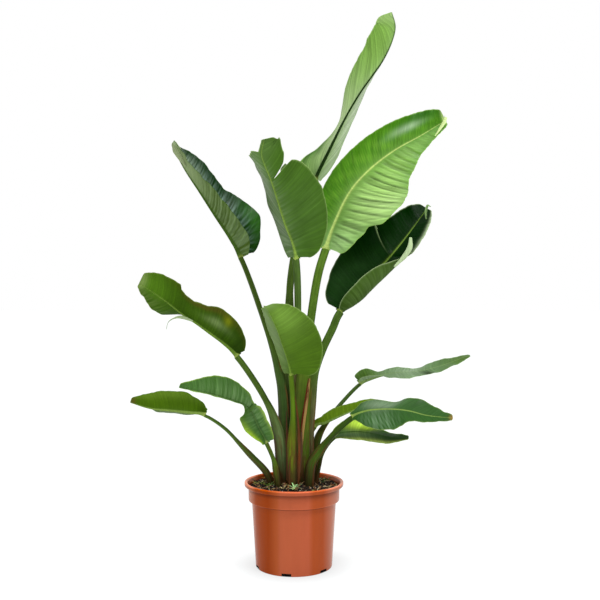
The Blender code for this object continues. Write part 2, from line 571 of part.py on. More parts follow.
def make_hole(name, leaf, collection):
    """The cutter of the plain hole that a stalk stands in."""
    _, _, _, right = frame_at(leaf, np.array([0.0, SOIL_LINE - FOOT]))
    out, rise = level_frame(right[1])
    sideways, upward = stalk_section(leaf, 0.0, CLEARANCE + 0.0001)
    flat = np.outer(sideways, out) + np.outer(upward, rise)
    rings = [flat + [*leaf["foot"], z] for z in (HOLE_BOTTOM, SOIL_LINE + 0.02)]
    return make_object("hole_" + name, loft("hole_" + name, rings), collection)


def turned(name, profile, steps, collection, material):
    """A closed body turned about Z from (radius, height) points, top to bottom outside."""
    mesh = bpy.data.meshes.new(name)
    edges = [(k, k + 1) for k in range(len(profile) - 1)]
    mesh.from_pydata([(radius, 0.0, height) for radius, height in profile], edges, [])
    body = make_object(name, mesh, collection, material)
    screw = body.modifiers.new("turn", "SCREW")
    screw.steps = screw.render_steps = steps
    screw.use_merge_vertices = True
    screw.merge_threshold = 0.00001
    screw.use_smooth_shade = True
    return body


def wall_radius(height):
    """The pot's outer radius below its collar."""
    share = height / COLLAR_BOTTOM
    return BASE_RADIUS + (SHOULDER_RADIUS - BASE_RADIUS) * share


def pot_profile():
    """The pot's section: inside of the floor, up the inside, over the lip and down."""
    inside = [(0.0, FLOOR_THICKNESS), (wall_radius(0.0) - WALL - BASE_ROUND, FLOOR_THICKNESS),
              (wall_radius(BASE_ROUND) - WALL, FLOOR_THICKNESS + BASE_ROUND / 2),
              (wall_radius(COLLAR_BOTTOM) - WALL, COLLAR_BOTTOM),
              (COLLAR_RADIUS - WALL, COLLAR_BOTTOM + WALL),
              (COLLAR_RADIUS - WALL * 0.6, LIP_BOTTOM),
              (COLLAR_RADIUS + WALL, POT_HEIGHT - WALL)]
    lip = [(COLLAR_RADIUS + 2 * WALL, POT_HEIGHT - 0.0004), (LIP_RADIUS - 0.0035, POT_HEIGHT),
           (LIP_RADIUS - 0.001, POT_HEIGHT - 0.001), (LIP_RADIUS, POT_HEIGHT - 0.0035),
           (LIP_RADIUS, LIP_BOTTOM + 0.002), (LIP_RADIUS - 0.002, LIP_BOTTOM)]
    outside = [(COLLAR_RADIUS, LIP_BOTTOM - 0.001), (COLLAR_RADIUS, COLLAR_BOTTOM + 0.002),
               (COLLAR_RADIUS - 0.002, COLLAR_BOTTOM - 0.0005),
               (wall_radius(COLLAR_BOTTOM), COLLAR_BOTTOM - 0.003)]
    corner = [(wall_radius(BASE_ROUND), BASE_ROUND),
              (BASE_RADIUS - BASE_ROUND * 0.29, BASE_ROUND * 0.29), (BASE_RADIUS - BASE_ROUND, 0.0)]
    return [*inside, *lip, *outside, *corner, (0.0, 0.0)]


def cut_with(body, cutters):
    """Cut a collection's bodies from another."""
    cut = body.modifiers.new("cut", "BOOLEAN")
    cut.operation = "DIFFERENCE"
    cut.operand_type = "COLLECTION"
    cut.collection = cutters
    cut.solver = "EXACT"


def make_pot(collection, cutters, material):
    """The pot, with drain slots round its bottom edge."""
    pot = turned("pot", pot_profile(), POT_STEPS, collection, material)
    for k in range(SLOTS):
        turn = SLOT_TURN + 2 * math.pi * k / SLOTS
        bpy.ops.mesh.primitive_cube_add(size=1.0)
        slot = bpy.context.active_object
        slot.name = f"slot_{k}"
        slot.scale = (SLOT_WIDTH, SLOT_DEPTH, 2 * SLOT_HEIGHT)
        slot.location = (BASE_RADIUS * math.sin(turn), -BASE_RADIUS * math.cos(turn), 0.0)
        slot.rotation_euler = (0.0, 0.0, turn)
        bpy.context.collection.objects.unlink(slot)
        cutters.objects.link(slot)
    cut_with(pot, cutters)
    return pot


def soil_profile():
    """The soil's section: down its outer side, inside the pot's wall."""
    gap = WALL + CLEARANCE
    top = [(0.0, SOIL_MIDDLE), (0.050, SOIL_MIDDLE - 0.002), (0.080, SOIL_EDGE + 0.003),
           (COLLAR_RADIUS - gap, SOIL_EDGE)]
    side = [(COLLAR_RADIUS - gap, COLLAR_BOTTOM + WALL + 2 * CLEARANCE),
            (wall_radius(COLLAR_BOTTOM) - gap, COLLAR_BOTTOM + CLEARANCE),
            (wall_radius(BASE_ROUND) - gap, FLOOR_THICKNESS + BASE_ROUND / 2 + CLEARANCE),
            (BASE_RADIUS - gap - BASE_ROUND, FLOOR_THICKNESS + CLEARANCE)]
    return [*top, *side, (0.0, FLOOR_THICKNESS + CLEARANCE)]


def make_soil(collection, cutters, material):
    """The soil, with a hole for each stalk."""
    soil = turned("soil", soil_profile(), SOIL_STEPS, collection, material)
    for name, leaf in LEAVES.items():
        make_hole(name, leaf, cutters)
    cut_with(soil, cutters)
    return soil


def new_collection(name):
    """An empty collection in the scene."""
    collection = bpy.data.collections.new(name)
    bpy.context.scene.collection.children.link(collection)
    return collection


def hide_cutters(*collections):
    """Show cutters as wires and keep them out of renders."""
    for collection in collections:
        for cutter in collection.objects:
            cutter.display_type = "WIRE"
            cutter.hide_render = True


def main():
    """Model the plant in its pot."""
    clear_scene()
    parts = new_collection(NAME)
    slots = new_collection("slot_cutters")
    holes = new_collection("hole_cutters")
    materials = {name: make_material(name) for name in COLOURS}
    make_pot(parts, slots, materials["pot"])
    make_soil(parts, holes, materials["soil"])
    for name, leaf in LEAVES.items():
        make_stalk(name, leaf, parts, materials["stalk"])
        make_blade(name, leaf, parts, materials["leaf"])
    hide_cutters(slots, holes)


main()
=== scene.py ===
"""Looks of the potted bird of paradise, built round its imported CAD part.

Metres, +Z up. The origin is the centre of the pot's base, and the viewer stands at -Y.
Each blade and stalk follows the same curve and the same tables as the solid that it
stands for, with finer rows, pleats, a rounded midrib and a thin edge.
"""
import math

import bpy
import numpy as np
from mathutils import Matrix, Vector


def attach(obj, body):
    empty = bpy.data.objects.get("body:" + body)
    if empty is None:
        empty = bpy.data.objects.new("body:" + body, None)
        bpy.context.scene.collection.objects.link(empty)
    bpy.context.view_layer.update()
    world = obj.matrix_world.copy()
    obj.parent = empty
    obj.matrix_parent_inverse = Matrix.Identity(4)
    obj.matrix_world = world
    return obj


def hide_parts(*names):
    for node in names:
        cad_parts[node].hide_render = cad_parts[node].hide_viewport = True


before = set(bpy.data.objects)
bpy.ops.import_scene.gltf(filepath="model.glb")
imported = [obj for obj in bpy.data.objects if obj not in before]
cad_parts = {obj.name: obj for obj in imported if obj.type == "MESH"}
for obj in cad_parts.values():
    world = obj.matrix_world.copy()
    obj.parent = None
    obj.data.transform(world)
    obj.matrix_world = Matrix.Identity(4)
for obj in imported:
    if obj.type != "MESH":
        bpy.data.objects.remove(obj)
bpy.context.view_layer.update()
MM = 1000.0
TURN = 2 * math.pi
SQUARE = ((-1, -1), (1, -1), (1, 1), (-1, 1))

# Camera, worked out from the photograph
CAMERA_PLACE = (0.01275, -1.764, 0.5623)
FOCAL_PIXELS = 830.0
FRAME_PIXELS = 600.0
SENSOR_WIDTH = 36.0

# Light: soft windows (name, place, point looked at, size, strength), the sky and the floor
WINDOWS = (("window", (-0.5, -2.7, 0.9), (-0.5, 0.0, 0.5), (6.8, 1.5), 22.0),
           ("key", (0.9, -1.0, 2.4), (0.0, 0.0, 0.6), (0.6, 0.6), 24.0))
SKY_STRENGTH = 1.5
SKY_SPREAD = math.radians(60.0)
SKY_TURN = (math.radians(12.0), math.radians(-8.0), 0.0)
DIM_STUDIO = 0.15
BEHIND, ABOVE = (0.0, 0.8), (0.6, 1.0)
ABOVE_LIGHT = 0.5
FLOOR_REACH = 40.0
FLOOR_TONE = (0.20, 0.22, 0.225)
FLOOR_GLOW = 0.84
# Painted shadow on the floor close round the pot, and painted shade under it
FLOOR_DARK = 0.84
FLOOR_DARK_REACH = 0.135
UNDER_EDGE = 0.003
UNDER_LIGHT = 0.01

# Pot, turned about Z
LIP_RADIUS = 0.105
COLLAR_RADIUS = 0.0968
SHOULDER_RADIUS = 0.0893
BASE_RADIUS = 0.0808
POT_HEIGHT = 0.178
LIP_BOTTOM = 0.1690
COLLAR_BOTTOM = 0.1395
BASE_ROUND = 0.004
WALL = 0.0018
FLOOR_THICKNESS = 0.002
POT_STEPS = 192
EDGE_ROUND = 0.0018
LIP_ROUND = 0.0045
LIP_CREASE = (0.0014, 0.002)
COLLAR_SLOPE = (0.0006, 0.0022)
LIP_WALL = 0.6
ARC_SHARE = 0.49
ARC_POINTS = 6

# Drain slots round the bottom edge
SLOTS = 6
SLOT_WIDTH = 0.020
SLOT_HEIGHT = 0.0065
SLOT_DEPTH = 0.016
SLOT_TURN = math.radians(-10.7)
SLOT_MARGIN = 2e-4

# The pot's colours from its left to its right, by distance from its middle: its own terracotta
# with painted reflection bands of the window, paler across the front and at both edges
POT_BANDS = ((-0.088, (190, 112, 78)), (-0.078, (164, 68, 6)), (-0.052, (160, 62, 0)),
             (-0.034, (180, 86, 42)), (-0.027, (190, 95, 60)), (0.030, (190, 93, 60)),
             (0.040, (178, 80, 36)), (0.060, (176, 78, 34)), (0.080, (190, 112, 84)))
# Its greys by height: painted shade in the corners under the collar and under the lip, a painted
# highlight on the collar's lower edge, and a painted highlight along the lip's top
POT_SHADES = [(height, (grey, grey, grey)) for height, grey in (
    (0.1345, 198), (0.1358, 198), (0.1370, 132), (0.1390, 132), (0.1397, 212), (0.1420, 198),
    (0.1590, 198), (0.1672, 144), (0.1690, 144), (0.1697, 190), (0.1752, 190), (0.1764, 255),
    (0.1772, 255))]
POT_LEVEL = 1.7
POT_SHINE = 0.08
POT_INSIDE = (214, 76, 4)
SHADES_BELOW = 0.005
INSIDE_HEIGHTS = (0.1500, 0.1510)
INSIDE_DEPTHS = (0.0015, 0.0005)

# Soil: heights at distances from the axis, bumps (spacing, height) and colours
SOIL_EDGE = 0.163
SOIL_MIDDLE = 0.173
SOIL_SLOPE = ((0.0, 0.050, 0.080, COLLAR_RADIUS),
              (SOIL_MIDDLE, SOIL_MIDDLE - 0.002, SOIL_EDGE + 0.003, SOIL_EDGE))
CRUST_RINGS = 64
CRUST_STEPS = 220
CRUST_LIFT = 0.0010
CRUST_THICKNESS = 0.0015
CRUST_RISE = 0.0024
CRUST_LOWEST = 0.6
CRUST_ROOM = 0.0004
CRUST_MIDDLE = 0.0004
CRUST_SEED, LITTER_SEED, WEED_SEED = 7, 5, 9
CRUMB_WAVES = 5
CRUMB_LEVEL = 2.2
CRUMBS = ((0.030, 0.0016), (0.013, 0.0013), (0.006, 0.0009), (0.0032, 0.0006))
SOIL_TONES = ((0.38, (8, 5, 4)), (0.54, (26, 18, 13)), (0.62, (70, 50, 34)),
              (0.70, (150, 116, 84)))
LITTER_REACH = 0.088
FIBRES = 90
FIBRE_TONES = ((206, 176, 120), (170, 136, 84), (180, 184, 90), (140, 110, 70), (230, 208, 160))
FIBRE_WIDTHS = (0.0006, 0.0012, 0.0005)
FIBRE_LENGTHS = (0.008, 0.028)
FIBRE_BENDS = (-0.6, 0.6)
FIBRE_RISE = (0.001, 0.006)
CHIP_ROUGHNESS = (0.55, 1.0)
CHIP_SIZES = (0.5, 1.0)
# Chips and grit: how many, largest size, colours, height of their middles over the soil
LITTER = (
    (80, (0.011, 0.006, 0.0025), ((150, 96, 58), (110, 72, 44), (186, 132, 84), (78, 50, 34)),
     0.0012),
    (170, (0.0048, 0.0035, 0.003), ((80, 54, 38), (128, 98, 70), (52, 36, 26), (170, 140, 104)),
     0.0010),
    (60, (0.0034, 0.0028, 0.002), ((226, 212, 186), (200, 190, 166), (150, 156, 146)), 0.0014),
)
# Seedlings: how their leaves vary in direction, length, rise and tint, and their bend,
# then for each one its place, leaves, their length and width, rise and colour
WEED_TURNS = (-0.3, 0.3)
WEED_REACHES = (0.7, 1.1)
WEED_LIFTS = (0.3, 1.8)
WEED_TINTS = (0.7, 1.15)
WEED_BEND = (0.45, 0.7)
WEED_FOOT = 0.4
WEED_TIP = 0.0006
WEED_CUP = 30.0
WEEDS = (
    (0.001, -0.059, 12, 0.015, 0.0024, 0.40, (176, 220, 150)),
    (-0.056, -0.022, 7, 0.012, 0.0022, 0.60, (92, 124, 40)),
    (-0.068, 0.006, 8, 0.013, 0.0020, 0.50, (128, 142, 70)),
    (-0.080, 0.030, 6, 0.012, 0.0018, 0.50, (80, 110, 40)),
    (-0.048, -0.036, 7, 0.011, 0.0020, 0.60, (124, 156, 80)),
    (-0.022, -0.053, 6, 0.012, 0.0012, 0.45, (206, 190, 136)),
    (0.060, 0.006, 7, 0.012, 0.0018, 0.45, (66, 96, 38)),
    (0.072, 0.028, 6, 0.013, 0.0014, 0.45, (88, 112, 50)),
    (0.052, 0.044, 6, 0.012, 0.0016, 0.50, (60, 94, 44)),
)

# Stalks and blades, as in the solids
CLEARANCE = 0.0003
FOOT = 0.145
SOIL_LINE = 0.177
RIB_THICKNESS = 0.0060
THIN_SHEET = 0.0025
NECK = 0.008
CURVE_STEPS = 24
SHEATH = (0.38, 0.62)
GROOVE = 0.45
GROOVE_START = (0.0, 0.3)
BLUNTNESS = 0.55
NO_CURL = 1e-3
# Along a blade: the midrib's half width and depth as shares, and how far the veins run on
# for each step out from it, where None is the leaf's own sweep
RIB_PLACES = (0.0, 0.03, 0.12, 0.4, 1.0)
RIB_WIDTHS = (1.0, 0.50, 0.30, 0.18)
RIB_TIP = 0.0007
RIB_DEPTHS = ((0.0, 0.1, 0.4, 1.0), (1.0, 0.68, 0.48, 0.14))
SWEEP_PLACES = (0.0, 0.02, 0.1, 0.3, 0.8, 1.0)
SWEEPS = (0.0, -0.35, 0.0, 0.35, None, 0.3)

# Finer rows, columns and rings than the solids have
STALK_SIDES = 48
RING_SPACING = 0.005
STALK_END = 0.002
END_SHRINK = 0.97
FINE_ROW = 0.0011
COARSE_ROW = 0.0026
ROW_SPACING = ((0.0, 0.06, 0.12, 0.92, 1.0),
               (FINE_ROW, FINE_ROW, COARSE_ROW, COARSE_ROW, FINE_ROW))
TEAR_STEP = 0.021
TEAR_FROM = 0.1
TEAR_NEAR = 0.03
LAST_ROW = 0.3
SHEET = 0.0006
RIB_COLUMNS = 7
RIBBON_STEP = 4
RIBBON_COLUMNS = 5
SHARES = np.array((0.0, 0.03, 0.07, 0.12, 0.18, 0.25, 0.32, 0.39, 0.46, 0.53, 0.60, 0.67, 0.74,
                   0.80, 0.86, 0.91, 0.95, 0.98, 1.0))

# Waves (spacing, weight) that a ripple adds up, and its seeds for one leaf after another
RIPPLES = ((0.55, 0.7), (1.0, 1.0), (1.9, 0.6), (3.7, 0.45))
RIPPLE_LEVEL = 1.6
PLEAT_SEED, FINE_SEED, WAVE_SEED, STREAK_SEED = 11, 17, 23, 29
STALK_SEED, BLADE_SEED, BLADE_SEEDS, RIGHT_SEED = 40, 3, 10, 5
# How far the materials' noise moves on from one leaf to the next, and round a stalk
BLADE_SHIFT, STALK_SHIFTS = 0.37, (0.5, 0.3)
STALK_ROUND = 0.004
# A blade's rough edge, round tip, channel and pleats: how their crests are flattened, how
# they lean and fade at the base, tip, midrib and edge, in mm and shares
ROUGH_EDGE = 0.0004
ROUGH_SPACING = 0.022
TIP_START = 0.975
TIP_ROUND = 0.98
CHANNEL = 0.18
KEEL_JOIN = 6
THIN_EDGE = (0.5, 8)
PLEAT_CREST = 0.3
PLEAT_FLAT = 0.25
PLEAT_LEAN = 6.0
FINE_PLEAT = (0.03, 2.8)
FADE_PLACES = (0.0, 0.45, 0.8, 1.0)
TIP_FADE = 0.3
BASE_BLEND = (0.02, 0.08)
TIP_BLEND = (0.93, 0.99)
RIB_BLEND = (0.02, 0.25)
EDGE_BLEND = (0.7, 1.0)
EDGE_CALM = 0.6
WAVE_SHIFT = 20
# Strength and width of the colours along the margin, the midrib and the blade's base
MARGIN_STRENGTH = 0.8
MARGIN_WIDTH = 0.0012
RIB_STRENGTH = 0.5
RIB_GLOW = 0.02
RIB_FADE = (0.6, 1.0)
TIP_RIB = 0.5
COLLAR_STRENGTH = 0.6
COLLAR_REACH = 0.006
STREAK_LEAN = 5.0
# A stalk's ridges, and the thin wings of its sheath, dry here and there along their edges
RIDGES = 0.02
RIDGE_SPACING = 5.0
WING = 0.0015
WING_EDGE = 40
DRY_WING = 0.0008
DRY_LEVEL = (0.4, 0.7)
DRY_EDGE = 24
MARGIN_SPACING = 0.09

# A stalk goes from its sheath's colour to its own between these shares of its length; it is
# brown at its foot up to these heights above the soil, and darker purple-brown on the clump's
# inner side, partly its own colour and partly painted shade between the stalks; painted shade
# also darkens its two sides
STALK_BLEND = (0.35, 0.66)
FOOT_RISE = (-0.01, 0.065)
BROWN_RISE = (0.01, 0.17)
INNER_BLEND = (0.25, 0.60)
CLUMP_MIDDLE = -0.004
FOOT_TONE = (44, 30, 12)
FOOT_STRENGTH = 0.9
INNER_TONE = (62, 50, 30)
INNER_STRENGTH = 0.75
INNER_SHIFT = 0.25
DEAD_TONE = (84, 52, 26)
STALK_SHADE = 0.5
SHADE_EASE = 0.6
STREAK_DEPTH = 0.28
MARGIN_BROWN = (110, 56, 26)
COLLAR_TONE = (176, 192, 96)

# Materials: scales of noise along and across the veins, the range that it mostly keeps to,
# and the angles in degrees above which edges look sharp
NOISE_RANGE = (0.3, 0.7)
LEAF_STREAKS, LEAF_HAIRS = (180.0, 7.0, 1.0), (900.0, 14.0, 1.0)
LEAF_THREADS, LEAF_CLOUDS = (360.0, 4.0, 1.0), (26.0, 22.0, 1.0)
THREAD_STRENGTH = 1.6
STALK_STREAKS, STALK_CLOUDS = (8.0, 900.0, 1.0), (30.0, 120.0, 1.0)
STALK_DEAD = (16.0, 420.0, 1.0)
POT_FLOW = (60.0, 60.0, 6.0)
LITTER_GRAIN = (900.0, 900.0, 300.0)
WHITE = (1.0, 1.0, 1.0, 1.0)
SHARP = {"pot": 35, "bits": 40, "blade": 50, "stalk": 60, "crust": 70}
# Bumps (strength, depth), how far noise darkens and lightens colours, and rougher places
BUMPS = {"leaf": (0.4, 0.0010), "hair": (0.25, 0.0003), "stalk": (0.4, 0.0006),
         "pot": (0.12, 0.0002), "crust": (0.8, 0.0012), "litter": (0.6, 0.0008)}
TONES = {"leaf": (0.88, 1.12), "hair": (0.92, 1.08), "stalk": (0.82, 1.18),
         "streak": (0.78, 1.22), "pot": (0.97, 1.03), "crust": (0.6, 1.4),
         "litter": (0.6, 1.35)}
STALK_ROUGHNESS, POT_ROUGHNESS = (0.36, 0.52), (0.18, 0.26)
LEAF_ROUGHER = (-0.06, 0.08)
THREAD_RANGE, DEAD_RANGE = (0.56, 0.66), (0.50, 0.58)
DEAD_STRENGTH = 0.85
POT_CLOUD, POT_GRAIN = 18.0, 1400.0
CRUST_COARSE, CRUST_FINE = 160.0, 700.0


def half(keys):
    """One half of a blade: (place, reach, rise, curl) in shares, metres and degrees."""
    return np.array([(*key, 0.0)[:4] for key in keys]) / (100.0, MM, 1.0, 1.0)


def leaf_shape(foot, stem, sweep, face, stalk, rib, right, left):
    """A leaf's shape by name, in metres and shares; its last direction holds to the tip."""
    foot, stem, stalk, rib = [np.array(field) / MM for field in (foot, stem, stalk, rib)]
    face = np.array([*face, face[-1], face[-1]][:4], dtype=float)
    return {"foot": foot, "stem": stem, "sweep": sweep, "face": face, "stalk": stalk,
            "rib": rib, "right": half(right), "left": half(left)}


def leaf_look(upper, lower, rib_upper, rib_lower, margin, stalk, sheath, pleat, shades, wave,
              gloss=1.0, keel=1.0, slant=0.0, tip_pleat=0.6, skin="leaf_lower", tears=(),
              on_upper=(), on_lower=()):
    """A leaf's look by name, with the usual values where none are given."""
    return locals()


